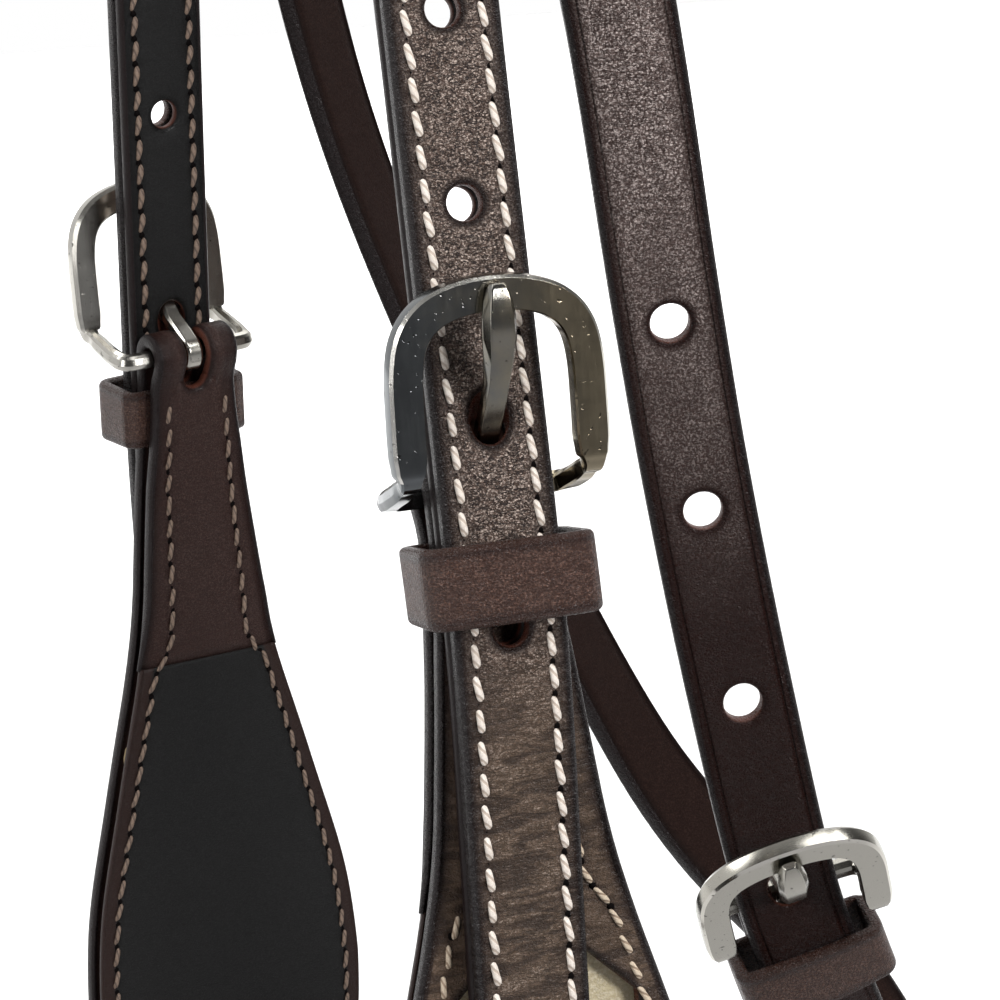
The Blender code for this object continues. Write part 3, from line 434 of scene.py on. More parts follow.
# The near buckle's nickel is a darker copy of the plain one: a painted dark reflection in its
# faces.
DARK_REFLECTION_NICKEL = nickel("near_nickel_painted_dark_reflection", (0.140, 0.148, 0.152), (0.290, 0.245, 0.170), 0.17)
LIGHT_NICKEL = nickel("throat_nickel", (0.42, 0.405, 0.37), (0.37, 0.355, 0.315), 0.22)
# The outer bevel's bright nickel: plating worn bright, and a painted highlight.
WORN_HIGHLIGHT_NICKEL = nickel("worn_edge_highlight_nickel", (0.78, 0.76, 0.71), (0.74, 0.71, 0.64), 0.14)
print("metals:", ", ".join(m.name for m in (DARK_REFLECTION_NICKEL, LIGHT_NICKEL, WORN_HIGHLIGHT_NICKEL)))

# %% [markdown]
# ## The lines that the straps hang on
# Every strap is described by a distance below the heel bar, a distance across the strap and
# a distance out from the line. The line is an arch over the poll, a straight side, a flare,
# and a turn back to vertical at the bar.

# %% Where a point of a strap is in space


def smooth_step(share):
    share = min(1.0, max(0.0, share))
    return share * share * (3 - 2 * share)


def curve_between(a, b, c, d, u):
    """A smooth curve's value from b to c, led by its neighbours a and d."""
    return 0.5 * (2 * b + (c - a) * u + (2 * a - 5 * b + 4 * c - d) * u ** 2
                  + (3 * b - a - 3 * c + d) * u ** 3)


def hang_line(run):
    """x, z and heading on the near side's line, a run below the crown's top."""
    x, z, heading, left = 0.0, -CROWN_IN, 0.0, run
    pieces = ((ARCH_LENGTH, -math.pi / 2), (SIDE_RUN, 0.0),
              (FLARE_RADIUS * FLARE_ANGLE, FLARE_ANGLE), (FLARE_RUN, 0.0),
              (CHEEK_TURN, -FLARE_ANGLE))
    for length, turn in pieces:
        part = min(left, length)
        swing = turn * part / length
        if turn:
            radius = length / turn
            x += radius * (math.sin(heading + swing) - math.sin(heading))
            z -= radius * (math.cos(heading + swing) - math.cos(heading))
        else:
            x += part * math.cos(heading)
            z += part * math.sin(heading)
        heading += swing
        left -= part
        if left <= 0:
            return x, z, heading
    return x + left * math.cos(heading), z + left * math.sin(heading), heading


def side_frame(below, side, lean=0.0):
    """Point, outward, backward and upward ways, a distance below the heel bar."""
    run = below + BAR_LENGTH
    x, z, heading = hang_line(run)
    twist = FAR_TWIST * smooth_step((run - TWIST_START) / TWIST_LENGTH) if side < 0 else 0.0
    flat_out = Vector((-side * math.sin(heading), 0.0, math.cos(heading)))
    flat_back = Vector((0.0, 1.0, 0.0))
    out = flat_out * math.cos(twist) + flat_back * side * math.sin(twist)
    back = flat_back * math.cos(twist) - flat_out * side * math.sin(twist)
    up = Vector((-side * math.cos(heading), 0.0, -math.sin(heading)))
    return Vector((side * x, lean * max(below, 0.0), z)), out, back, up


def side_place(side, lean=0.0):
    def place(below, across, outward):
        point, out, back, _ = side_frame(below, side, lean)
        return point + back * across + out * outward
    return place


def cheek_place(side):
    """The near cheek has swung back a little behind its billet."""
    return side_place(side, NEAR_CHEEK_LEAN if side > 0 else 0.0)


def crown_place(along, across, outward):
    side = 1.0 if along >= 0 else -1.0
    return side_place(side)(abs(along) - BAR_LENGTH, across, outward)


def seat_matrix(point, out, up):
    up = (up - out * up.dot(out)).normalized()
    matrix = Matrix((out, up.cross(out), up)).transposed().to_4x4()
    matrix.translation = point
    return matrix


def side_matrix(side, below=0.0):
    point, out, _, up = side_frame(below, side)
    return seat_matrix(point, out, up)


print("near heel bar at", tuple(round(v, 4) for v in side_matrix(1).translation))

# %% [markdown]
# ## A strap as one skin
# A strap is a ring of points swept along its spine. The ring has more points near the edges,
# where the leather is rounded and creased. A hole isn't cut: a patch of the grid is taken
# out on both faces and rings of points lead from its border down the wall of the hole, so
# the lip can be soft, as a punch leaves it.

# %% The strap maker
EDGE_BANDS = (0.0010, 0.0013, 0.0016, 0.0020, 0.0025, 0.0032, 0.0041, 0.0053)
MIDDLE_COLUMNS = 4
CORNER_STEPS = 4
LIP = ((0.00150, 0.0), (0.00100, 0.00004), (0.00060, 0.00013), (0.00030, 0.00028),
       (0.00010, 0.00050), (0.0, 0.00080))
HOLE_MARGIN = 0.0016
FAR_OFF = 0.01
SOFT_EDGE = 0.0009
GROOVE_DEPTH = 0.00030
GROOVE_WIDTH = 0.00075
PIT_LENGTH = 0.0008
EDGE_FALL = 0.00042


def point_layers(mesh, *names):
    return [mesh.verts.layers.float.new(name) for name in names]


def marked_point(mesh, layers, place, values):
    """A point of a skin, with a value for each of its layers."""
    vert = mesh.verts.new(place)
    for layer, value in zip(layers, values):
        vert[layer] = value
    return vert


def join_rings(mesh, rings, closed=False):
    """Faces between each ring of points and the next."""
    faces = []
    for before, after in zip(rings, rings[1:] + rings[:1] if closed else rings[1:]):
        for k in range(len(before)):
            m = (k + 1) % len(before)
            faces.append(mesh.faces.new((before[k], before[m], after[m], after[k])))
    return faces


def smooth_object(name, mesh, *materials):
    """Turn a mesh's faces out, smooth them and make it an object."""
    bmesh.ops.recalc_face_normals(mesh, faces=mesh.faces)
    for face in mesh.faces:
        face.smooth = True
    data = bpy.data.meshes.new(name)
    mesh.to_mesh(data)
    mesh.free()
    for material in materials:
        data.materials.append(material)
    return bpy.data.objects.new(name, data)


def stand(obj):
    bpy.context.scene.collection.objects.link(obj)
    return obj


class Spine:
    """Rows of along, outward, half width and thickness, read at any length along them."""

    def __init__(self, rows, place):
        self.rows = np.array(rows, dtype=float)
        self.place = place
        steps = np.hypot(np.diff(self.rows[:, 0]), np.diff(self.rows[:, 1]))
        self.lengths = np.concatenate(([0.0], np.cumsum(steps)))
        runs = np.zeros((len(rows), 2))
        runs[1:-1] = self.rows[2:, :2] - self.rows[:-2, :2]
        runs[0] = self.rows[1, :2] - self.rows[0, :2]
        runs[-1] = self.rows[-1, :2] - self.rows[-2, :2]
        self.runs = runs / np.linalg.norm(runs, axis=1)[:, None]

    def read(self, length):
        row = [float(np.interp(length, self.lengths, self.rows[:, k])) for k in range(4)]
        run = [float(np.interp(length, self.lengths, self.runs[:, k])) for k in range(2)]
        return row, run

    def point(self, length, across, rise):
        (along, outward, _, _), run = self.read(length)
        return self.place(along - run[1] * rise, across, outward + run[0] * rise)


def round_hole(centre, radius, slant=0.0, stretch=1.0):
    """A hole's outline for a border point, given as u, v from -1 to 1 and its length."""
    def outline(u, v, length, offset, top):
        angle = math.atan2(v, u)
        middle = centre + (0.0 if top else slant)
        return (middle + (radius * stretch + offset) * math.sin(angle),
                (radius + offset) * math.cos(angle))
    return outline, centre, radius * stretch, radius


def slot_hole(centre, half_length, radius):
    def outline(u, v, length, offset, top):
        reach = half_length - radius
        if abs(u) >= 0.999:
            return (centre + max(-reach, min(reach, length - centre)),
                    math.copysign(radius + offset, u))
        angle = math.acos(max(-1.0, min(1.0, u)))
        return (centre + math.copysign(reach + (radius + offset) * math.sin(angle), v),
                (radius + offset) * math.cos(angle))
    return outline, centre, half_length, radius


def window_hole(centre, half_length, half_width, flat, shoulder):
    def outline(u, v, length, offset, top):
        side = half_width + offset
        straight = half_length - shoulder
        if abs(u) >= 0.999:
            return centre + max(-straight, min(straight, length - centre)), math.copysign(side, u)
        across = u * side
        drop = shoulder * max(0.0, abs(across) - flat) / (side - flat)
        return centre + math.copysign(half_length + offset - drop, v), across
    return outline, centre, half_length, half_width


def ring_points(half, thick, edge, dip):
    """One ring round a strap: across, rise, distance from the edge, and which face it is on."""
    edge = min(edge, thick * 0.49)
    squeeze = min(1.0, half / 0.0070)
    distances = [max(d * squeeze, edge * (1.001 + 0.01 * k)) for k, d in enumerate(EDGE_BANDS)]
    inner = half - distances[-1]
    middles = [inner * (2 * (k + 1) / (MIDDLE_COLUMNS + 1) - 1) for k in range(MIDDLE_COLUMNS)]
    turns = [math.pi / 2 * (k + 1) / (CORNER_STEPS + 1) for k in range(CORNER_STEPS)]
    face = [(-half + d, d) for d in [edge] + distances]
    face += [(t, half - abs(t)) for t in middles]
    face += [(half - d, d) for d in reversed([edge] + distances)]

    def corner(side, up, angles):
        return [(side * (half - edge * (1 - math.cos(a))),
                 up * (thick / 2 - edge * (1 - math.sin(a))), 0.0, 0) for a in angles]

    return ([(-half, 0.0, 0.0, 0)] + corner(-1, 1, turns)
            + [(t, thick / 2 + dip(d, t, True), d, 1) for t, d in face]
            + corner(1, 1, reversed(turns)) + [(half, 0.0, 0.0, 0)] + corner(1, -1, turns)
            + [(t, -thick / 2 - dip(d, t, False), d, -1) for t, d in reversed(face)]
            + corner(-1, -1, reversed(turns)))


FACE_COUNT = 2 * (len(EDGE_BANDS) + 1) + MIDDLE_COLUMNS
TOP_START = 1 + CORNER_STEPS
BACK_START = TOP_START + FACE_COUNT + 2 * CORNER_STEPS + 1


def no_dips(*where):
    return 0.0


def far_seam(*where):
    return FAR_OFF


def hole_patch(spine, acrosses, hole):
    """The part of a strap's grid that a hole takes out: its rows and its columns."""
    outline, centre, half_length, half_width = hole
    first = max(i for i, s in enumerate(spine.lengths) if s <= centre - half_length - HOLE_MARGIN)
    final = min(i for i, s in enumerate(spine.lengths) if s >= centre + half_length + HOLE_MARGIN)

    def clears(c):
        return all(-row[TOP_START + c] >= min(half_width + HOLE_MARGIN * 0.6, -row[TOP_START + 2])
                   for row in acrosses[first:final + 1])

    left = max(c for c in range(FACE_COUNT // 2) if clears(c))
    return outline, first, final, left, FACE_COUNT - 1 - left


def hole_rings(mesh, layers, spine, grid, patch):
    """Rings of points from a patch's border on the face, down the wall, to that on the back."""
    outline, first, final, left, right = patch
    border = [(first, c) for c in range(left, right)]
    border += [(i, right) for i in range(first, final)]
    border += [(final, c) for c in range(right, left, -1)]
    border += [(i, left) for i in range(final, first, -1)]
    sides = []
    for top in (True, False):
        rings = [[grid[i][TOP_START + c if top else BACK_START + FACE_COUNT - 1 - c]
                  for i, c in border]]
        for offset, sink in LIP if top else LIP[1:]:
            ring = []
            for i, c in border:
                u = 2 * (c - left) / (right - left) - 1
                v = 2 * (i - first) / (final - first) - 1
                if c in (left, right) and i not in (first, final):
                    u = math.copysign(1.0, u)
                s, t = outline(u, v, spine.lengths[i], offset, top)
                thick = spine.read(s)[0][3]
                level = thick / 2 - min(sink, thick * 0.42)
                ring.append(marked_point(mesh, layers, spine.point(s, t, level if top else -level),
                                         (FAR_OFF, FAR_OFF, offset)))
            rings.append(ring)
        sides.append(rings)
    return sides[0] + sides[1][::-1]


def make_strap(name, rows, place, materials, edge=SOFT_EDGE, holes=(), dips=no_dips,
               seam=far_seam):
    """A leather strap as one closed skin. materials are those of its face and its back."""
    spine = Spine(rows, place)
    mesh = bmesh.new()
    layers = point_layers(mesh, "edge", "seam", "rim")
    grid, acrosses = [], []
    for length in spine.lengths:
        (along, _, half, thick), _ = spine.read(length)

        def dip(distance, across, top):
            return dips(distance, across, top, along)

        ring = ring_points(half, thick, edge, dip)
        acrosses.append([across for across, _, _, _ in ring])
        grid.append([marked_point(mesh, layers, spine.point(length, across, rise),
                                  (distance, seam(distance, across, face >= 0, along), FAR_OFF))
                     for across, rise, distance, face in ring])
    patches = [hole_patch(spine, acrosses, hole) for hole in holes]
    removed = set()
    for _, first, final, left, right in patches:
        for i in range(first, final):
            for c in range(left, right):
                removed.add((i, TOP_START + c))
                removed.add((i, BACK_START + FACE_COUNT - 2 - c))
    count = len(grid[0])
    for i, (before, after) in enumerate(zip(grid, grid[1:])):
        for c in range(count):
            if (i, c) in removed:
                continue
            d = (c + 1) % count
            face = mesh.faces.new((before[c], before[d], after[d], after[c]))
            if len(materials) > 1 and BACK_START - 1 <= c < BACK_START + FACE_COUNT:
                face.material_index = 1
    mesh.faces.new(grid[0])
    mesh.faces.new(grid[-1])
    for patch in patches:
        join_rings(mesh, hole_rings(mesh, layers, spine, grid, patch))
    return stand(smooth_object(name, mesh, *materials))


def spread(start, end, step):
    count = max(1, math.ceil(abs(end - start) / step))
    return [start + (end - start) * k / count for k in range(count + 1)]


def billet_half(to_tip):
    if to_tip >= BILLET_POINT:
        return STRAP_HALF
    share = max(0.0, to_tip / BILLET_POINT)
    return BILLET_TIP_HALF + (STRAP_HALF - BILLET_TIP_HALF) * math.sin(share * math.pi / 2)


def line_row(place, stations, across_of, outward_of, facing):
    """Points and outward ways of a row that lies on a strap."""
    row = []
    for s in stations:
        t = across_of(s)
        outward = outward_of(s) if callable(outward_of) else outward_of
        point = place(s, t, outward)
        row.append((point, (place(s, t, outward + MM * facing) - point).normalized()))
    return row


class SeamLine:
    """One row of sewing, and how far along it any station is from where the thread dives."""

    def __init__(self, place, stations, across_of, outward_of, facing, pitch):
        self.pitch = pitch
        self.stations = stations
        self.across_of = across_of
        self.points = line_row(place, stations, across_of, outward_of, facing)
        gaps = [(b[0] - a[0]).length for a, b in zip(self.points, self.points[1:])]
        self.lengths = np.concatenate(([0.0], np.cumsum(gaps)))

    def to_gap(self, station):
        if not self.stations[0] - 0.001 <= station <= self.stations[-1] + 0.001:
            return self.pitch
        turns = float(np.interp(station, self.stations, self.lengths)) / self.pitch
        return abs(turns - math.floor(turns) - 0.5) * self.pitch

    def quarters(self):
        """Stations a quarter of a stitch apart, so that each gap gets a ring of its own."""
        count = int(4 * self.lengths[-1] / self.pitch)
        return [float(np.interp(k * self.pitch / 4, self.lengths, self.stations))
                for k in range(count + 1)]


def sewn_dips(lines, puff, row_in):
    """Leather under thread: pulled down along the rows, most at each gap, swollen between."""
    def dips(distance, across, top, along):
        line = lines[0 if across < 0 else 1]
        row = abs(line.across_of(along))
        off = abs(abs(across) - row)
        started = line.stations[0] - 0.003 <= along <= line.stations[-1] + 0.003
        depth = GROOVE_DEPTH if started else GROOVE_DEPTH / 6
        pit = math.exp(-(line.to_gap(along) / PIT_LENGTH) ** 2)
        drop = -depth * math.exp(-(off / GROOVE_WIDTH) ** 2) * (0.55 + 0.80 * pit)
        if abs(across) > row:
            drop -= EDGE_FALL * (off / row_in) ** 1.6
        elif row:
            drop += puff * (1 - (abs(across) / row) ** 4) - puff * 0.3
        return drop
    return dips


def sewn_seam(lines):
    def seam(distance, across, top, along):
        line = lines[0 if across < 0 else 1]
        off = abs(abs(across) - abs(line.across_of(along)))
        return off + 0.5 * min(line.to_gap(along), 0.0012)
    return seam


def keep(piece, node, body, slot):
    """A finished piece rides on its body and, where it has one, stands for its plain solid."""
    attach(piece, body)
    if node:
        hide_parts(node)
    print("%-24s %6d faces" % (piece.name, len(piece.data.polygons)))


print("a strap's ring has", len(ring_points(STRAP_HALF, PLY, SOFT_EDGE, no_dips)), "points")

# %% [markdown]
# ## The crown
# The crown is two plies sewn together, brown outside and black inside. Both are cut as one
# strap that ends in a billet on each side. The thread runs in a shallow groove along each
# edge, so the face of the brown ply dips there.

# %% The two plies of the crown
CROWN_ROW = 0.0053
NEAR_HOLES_UP = (-0.0171, 0.0377, 0.0628, 0.0879)
FAR_HOLES_UP = (-0.0171, 0.0417, 0.0668, 0.0919)
TONGUE_HOLE_UP = 0.0097
TONGUE_HOLE_UP_BACK = 0.0070
TONGUE_HOLE_SLANT = 0.0024
TONGUE_HOLE_RADIUS = 0.0026
TONGUE_HOLE_STRETCH = 1.36
CROWN_PITCH = 0.00432
CROWN_REACH = BAR_LENGTH + BILLET_BELOW_BAR
ROW_FROM_EDGE = 0.0026
ROWS_MEET = 0.0003
ROW_FROM_TIP = 0.004


def crown_lines(outward, facing):
    """The two rows of the crown, the second half a stitch after the first."""
    lines = []
    for sign, start in ((-1, 0.0), (1, CROWN_PITCH / 2)):
        def across_of(along, sign=sign):
            inner = billet_half(CROWN_REACH - abs(along)) - ROW_FROM_EDGE
            return sign * max(ROWS_MEET, min(CROWN_ROW, inner))
        stations = spread(-CROWN_REACH + ROW_FROM_TIP + start, CROWN_REACH - ROW_FROM_TIP, 2 * MM)
        lines.append(SeamLine(crown_place, stations, across_of, outward, facing, CROWN_PITCH))
    return lines


CROWN_FACE_LINES = crown_lines(CROWN_OUT - 0.00026, 1.0)
CROWN_BACK_LINES = crown_lines(CROWN_IN + 0.00024, -1.0)


def crown_rows(middle, thick, line):
    ends = [CROWN_REACH - BILLET_POINT * (1 - math.cos(k / 14 * math.pi / 2)) for k in range(15)]
    limit = min(ends) - 0.0002
    runs = [r for r in line.quarters() if abs(r) < limit] + ends + [-e for e in ends]
    runs.sort()
    runs = [r for k, r in enumerate(runs) if k == 0 or r - runs[k - 1] > 0.00002]
    return [(r, middle, billet_half(CROWN_REACH - abs(r)), thick) for r in runs]


def crown_holes(start, tongue_up):
    """The punched holes of both billets, and the stretched ones that the tongues are in."""
    holes = [round_hole(side * (BAR_LENGTH - up) - start, HOLE_RADIUS)
             for side, ups in ((1, NEAR_HOLES_UP), (-1, FAR_HOLES_UP)) for up in ups]
    return holes + [round_hole(side * (BAR_LENGTH - tongue_up) - start, TONGUE_HOLE_RADIUS,
                               side * TONGUE_HOLE_SLANT, TONGUE_HOLE_STRETCH) for side in (1, -1)]


def build_crown():
    layers = (("crown_face", "crown_strap", CROWN_OUT - PLY / 2, PLY, (BROWN, BROWN),
               "brown_leather", CROWN_FACE_LINES, TONGUE_HOLE_UP),
              ("crown_back", "crown_lining", CROWN_IN + LINING / 2, LINING, (BLACK, BLACK),
               "black_lining", CROWN_BACK_LINES, TONGUE_HOLE_UP_BACK))
    for name, node, middle, thick, materials, slot, lines, tongue_up in layers:
        rows = crown_rows(middle, thick, lines[0])
        sewn = sewn_dips(lines, 0.00018, STRAP_HALF - CROWN_ROW)
        seen_top = lines is CROWN_FACE_LINES

        def dips(distance, across, top, along):
            return sewn(distance, across, top, along) if top == seen_top else 0.0

        piece = make_strap(name, rows, crown_place, materials,
                           holes=crown_holes(rows[0][0], tongue_up), dips=dips,
                           seam=sewn_seam(lines))
        keep(piece, node, "straps", slot)


build_crown()

# %% [markdown]
# ## The cheeks
# One piece of leather makes the cheek. Its upper end is turned round the heel bar with a slot
# for the tongue, and the tucked end, the chape, is skived thin and sewn down inside. Below,
# the cheek widens and is lined in black, and a window shows a cream sheet.

# %% The cheeks, their linings and inlays
CHEEK_OUTLINE_SHARES = (
    (0.000, 0.287), (0.051, 0.300), (0.076, 0.332), (0.127, 0.379), (0.169, 0.419),
    (0.199, 0.448), (0.220, 0.487), (0.242, 0.527), (0.267, 0.585), (0.309, 0.686),
    (0.339, 0.751), (0.373, 0.830), (0.398, 0.888), (0.419, 0.931), (0.453, 0.975),
    (0.500, 1.000),
)
WINDOW_HALF = 0.0142
WINDOW_TOP_HALF = 0.0060
WINDOW_TOP = 0.0625
WINDOW_BOTTOM = 0.1735
WINDOW_SHOULDER = 0.0082
INLAY_MARGIN = 0.0035
INLAY_OUT = PLY_IN - SEAT_GAP
LINING_OUT = INLAY_OUT - INLAY - SEAT_GAP
BIT_PLY = 0.0026
BIT_FRONT_MID = LINING_OUT - CHEEK_LINING - SEAT_GAP - BIT_PLY / 2
BIT_BACK_MID = BIT_FRONT_MID - BIT_PLY - SEAT_GAP
BIT_RADIUS = 0.0062
BIT_TOP = 0.190
BIT_CENTRE = 0.2450
BIT_END_ROUND = 0.005
SCREWS_BELOW = (0.202, 0.216)
SCREW_HOLE = 0.0028
KEEPER_TOP = 0.0059
KEEPER_HEIGHT = 0.0103
KEEPER_BACK = 0.0014
CHAPE_CLOSE = 0.0240
SLOT_HALF = 0.0023
SLOT_DOWN = 0.0062
SEW_IN = 0.0034
CHAPE_ROW_IN = 0.0024
CHAPE_ROW_FOLLOW = 0.4
CHAPE_ROW_END = 0.0515
CHAPE_ROW_TURN = 0.0075
HEEL_STEPS = 24
CHEEK_PITCH = 0.0041
SPOT_REACH = 0.0055
SPOT_STEP = 0.0011


def cheek_half(below):
    """Half width of the cheek: the outline's shares, drawn through smoothly."""
    share = below / CHEEK_SPAN
    share = min(max(min(share, 1 - share), 0.0), 0.5)
    distances = [row[0] for row in CHEEK_OUTLINE_SHARES]
    widths = [row[1] for row in CHEEK_OUTLINE_SHARES]
    near = [float(np.interp(share + shift, distances, widths))
            for shift in (-0.02, -0.01, 0, 0.01, 0.02)]
    return CHEEK_HALF * sum(near) / len(near)


def round_end(to_end, half, corner):
    if to_end >= corner:
        return half
    return half - corner + math.sqrt(max(0.0, corner * corner - (corner - to_end) ** 2))


def chape_rows(length, ply, mate):
    """From the skived end inside, up, round the heel bar, and down to just below it."""
    tucked = PLY_IN - 2 * SEAT_GAP - KEEPER_BACK - ply / 2
    knots = [(KEEPER_TOP - SEAT_GAP, tucked, ply),
             (KEEPER_TOP + KEEPER_HEIGHT + SEAT_GAP, min(tucked, mate - ply / 2), ply),
             (CHAPE_CLOSE, mate - ply / 2, ply),
             (length - 0.010, mate - ply / 2, ply),
             (length, mate - CHAPE_SKIVE / 2, CHAPE_SKIVE)]
    belows, outwards, thicks = zip(*knots)
    rows = [(below, float(np.interp(below, belows, outwards)),
             float(np.interp(below, belows, thicks)))
            for below in spread(length, KEEPER_TOP - SEAT_GAP, 0.0022)]
    bend = PLY_IN + ply / 2
    below, outward, _ = rows[-1]
    for share in (0.35, 0.7):
        rows.append((below * (1 - share), outward + (-bend - outward) * smooth_step(share), ply))
    for k in range(HEEL_STEPS + 1):
        angle = math.pi * k / HEEL_STEPS
        rows.append((-bend * math.sin(angle), -bend * math.cos(angle), ply))
    return rows


def chape_slot(spine, first):
    """The tongue's slot, round the top of the fold that ends where row first begins."""
    apex = float(spine.lengths[first - 1 - HEEL_STEPS // 2])
    return slot_hole(apex, math.pi / 2 * (PLY_IN + PLY / 2) + SLOT_DOWN, SLOT_HALF)


def length_reader(rows, spine, first):
    """Gives the length along a strap at any station past its fold."""
    stations = [row[0] for row in rows[first:]]

    def length_at(station):
        return float(np.interp(station, stations, spine.lengths[first:]))
    return length_at


def cheek_thread_across(below):
    """The rows keep in over the chape, then run out to the cheek's edge."""
    half = cheek_half(max(below, 0.0))
    inner = STRAP_HALF - CHAPE_ROW_IN + CHAPE_ROW_FOLLOW * (half - STRAP_HALF)
    return inner + (half - SEW_IN - inner) * smooth_step((below - CHAPE_ROW_END) / CHAPE_ROW_TURN)


def cheek_lines(side, start, end, outward_of, facing):
    lines = []
    for sign in (-1, 1):
        def across_of(below, sign=sign):
            return sign * cheek_thread_across(below)
        lines.append(SeamLine(cheek_place(side), spread(start, end, 0.0014), across_of,
                              outward_of, facing, CHEEK_PITCH))
    return lines


def chape_level(below):
    """How far out the chape's seen side lies, and below it the lining's."""
    if below > CHAPE_LENGTH:
        return LINING_OUT - CHEEK_LINING
    rows = sorted(r for r in chape_rows(CHAPE_LENGTH, PLY, LINING_OUT) if r[0] > 0.004)
    return float(np.interp(below, [r[0] for r in rows], [r[1] - r[2] / 2 for r in rows]))


def dense(stations, spots, reach, step):
    """Stations with a finer step round each spot, where a hole will be."""
    kept = [s for s in stations if all(abs(s - spot) > reach for spot in spots)]
    for spot in spots:
        count = round(2 * reach / step)
        kept += [spot - reach + 2 * reach * k / count for k in range(count + 1)]
    return sorted(set(kept))


def cheek_stations(quarters):
    """Distances down the cheek: by quarter stitches, then round the screws and the end."""
    round_from = CHEEK_LENGTH - CHEEK_END_ROUND
    corner = [CHEEK_LENGTH - CHEEK_END_ROUND * (1 - math.sin(k / 8 * math.pi / 2))
              for k in range(9)]
    plate = spread(0.0015, quarters[0] - 0.001, 0.0022) + quarters
    plate = [b for b in plate if b < 0.19] + spread(0.19, round_from, 0.0024)
    plate = dense(plate, SCREWS_BELOW, SPOT_REACH, SPOT_STEP)
    return [b for b in plate if b < corner[0] - 0.0002] + corner[:-1] + [CHEEK_LENGTH]


def cheek_width(below, inset=0.0):
    return round_end(CHEEK_LENGTH - below, cheek_half(below), CHEEK_END_ROUND) - inset


def build_cheek_face(side, tag, plate, lines):
    place = cheek_place(side)
    rows = [(below, outward, cheek_half(max(below, 0.0)), thick)
            for below, outward, thick in chape_rows(CHAPE_LENGTH, PLY, LINING_OUT)]
    first = len(rows)
    rows += [(b, PLY_MID, cheek_width(b), PLY) for b in plate]
    spine = Spine(rows, place)
    length_at = length_reader(rows, spine, first)
    holes = [chape_slot(spine, first),
             window_hole(length_at((WINDOW_TOP + WINDOW_BOTTOM) / 2),
                         (WINDOW_BOTTOM - WINDOW_TOP) / 2, WINDOW_HALF, WINDOW_TOP_HALF,
                         WINDOW_SHOULDER)]
    holes += [round_hole(length_at(below), SCREW_HOLE) for below in SCREWS_BELOW]
    cheek = make_strap(tag + "_cheek_leather", rows, place,
                       (CHEEK_BROWN if side > 0 else CHAPE_BROWN, CHAPE_BROWN), holes=holes,
                       dips=sewn_dips(lines, 0.00010, SEW_IN), seam=sewn_seam(lines))
    keep(cheek, tag + "_cheek", "straps", "brown_leather")


def build_cheek_lining(side, tag, plate, lines):
    start = CHAPE_LENGTH - 0.0001
    rows = [(b, LINING_OUT - CHEEK_LINING / 2, cheek_width(b, 0.0004), CHEEK_LINING)
            for b in [start] + [b for b in plate if b > start + 0.0005]]
    lining = make_strap(tag + "_cheek_back", rows, cheek_place(side), (RIMMED_BLACK,), 0.0005,
                        [round_hole(below - start, SCREW_HOLE) for below in SCREWS_BELOW],
                        sewn_dips(lines, 0.00010, SEW_IN), sewn_seam(lines))
    keep(lining, tag + "_cheek_lining", "straps", "black_lining")


def build_inlay(side, tag):
    """The sheet behind the window, of the window's own outline and a margin more."""
    top, bottom = WINDOW_TOP - INLAY_MARGIN, WINDOW_BOTTOM + INLAY_MARGIN
    wide, flat = WINDOW_HALF + INLAY_MARGIN, WINDOW_TOP_HALF + INLAY_MARGIN / 2
    shoulder = WINDOW_SHOULDER + INLAY_MARGIN

    def inlay_half(below):
        return min(wide, flat + (wide - flat) * min(below - top, bottom - below) / shoulder)

    rows = [(b, INLAY_OUT - INLAY / 2, inlay_half(b), INLAY) for b in spread(top, bottom, 0.0016)]
    inlay = make_strap(tag + "_inlay_sheet", rows, cheek_place(side), (CREAM,), 0.0003)
    keep(inlay, tag + "_cheek_inlay", "straps", "cream_leather")


def build_cheek(side, tag):
    face_lines = cheek_lines(side, 0.0165, 0.196, PLY_IN + PLY - 0.00020, 1.0)
    back_lines = cheek_lines(side, 0.0100, 0.188, lambda below: chape_level(below) + 0.00020, -1.0)
    plate = cheek_stations(face_lines[0].quarters())
    build_cheek_face(side, tag, plate, face_lines)
    build_cheek_lining(side, tag, plate, back_lines)
    build_inlay(side, tag)
    return face_lines, back_lines


CHEEK_LINES = {tag: build_cheek(side, tag) for side, tag in ((1, "near"), (-1, "far"))}

# %% [markdown]
# ## The bit straps
# Below each cheek a short strap is turned round the bit's ring and its two ends are held
# behind the lining by two binding screws.

# %% The bit straps


def build_bit_strap(side, tag):
    centre_out = (BIT_FRONT_MID + BIT_BACK_MID) / 2
    radius = BIT_RADIUS + BIT_PLY / 2
    tip = [BIT_TOP + BIT_END_ROUND * (1 - math.cos(k / 6 * math.pi / 2)) for k in range(7)]
    legs = dense(spread(BIT_TOP + 0.0055, CHEEK_LENGTH + SEAT_GAP, 0.0025), SCREWS_BELOW,
                 SPOT_REACH, SPOT_STEP)
    legs = tip + [b for b in legs if b > tip[-1] + 0.0002]
    path = [(b, BIT_FRONT_MID) for b in legs]
    for k in range(37):
        angle = math.radians(65 + 230 * k / 36)
        path.append((BIT_CENTRE - radius * math.cos(angle), centre_out + radius * math.sin(angle)))
    path += [(b, BIT_BACK_MID) for b in reversed(legs)]
    rows = [(b, o, round_end(b - BIT_TOP, STRAP_HALF, BIT_END_ROUND), BIT_PLY) for b, o in path]
    total = float(Spine(rows, cheek_place(side)).lengths[-1])
    holes = [round_hole(spot, SCREW_HOLE) for below in SCREWS_BELOW
             for spot in (below - BIT_TOP, total - (below - BIT_TOP))]
    strap = make_strap(tag + "_bit_leather", rows, cheek_place(side), (BROWN, CHAPE_BROWN),
                       holes=holes)
    keep(strap, tag + "_bit_strap", "straps", "brown_leather")


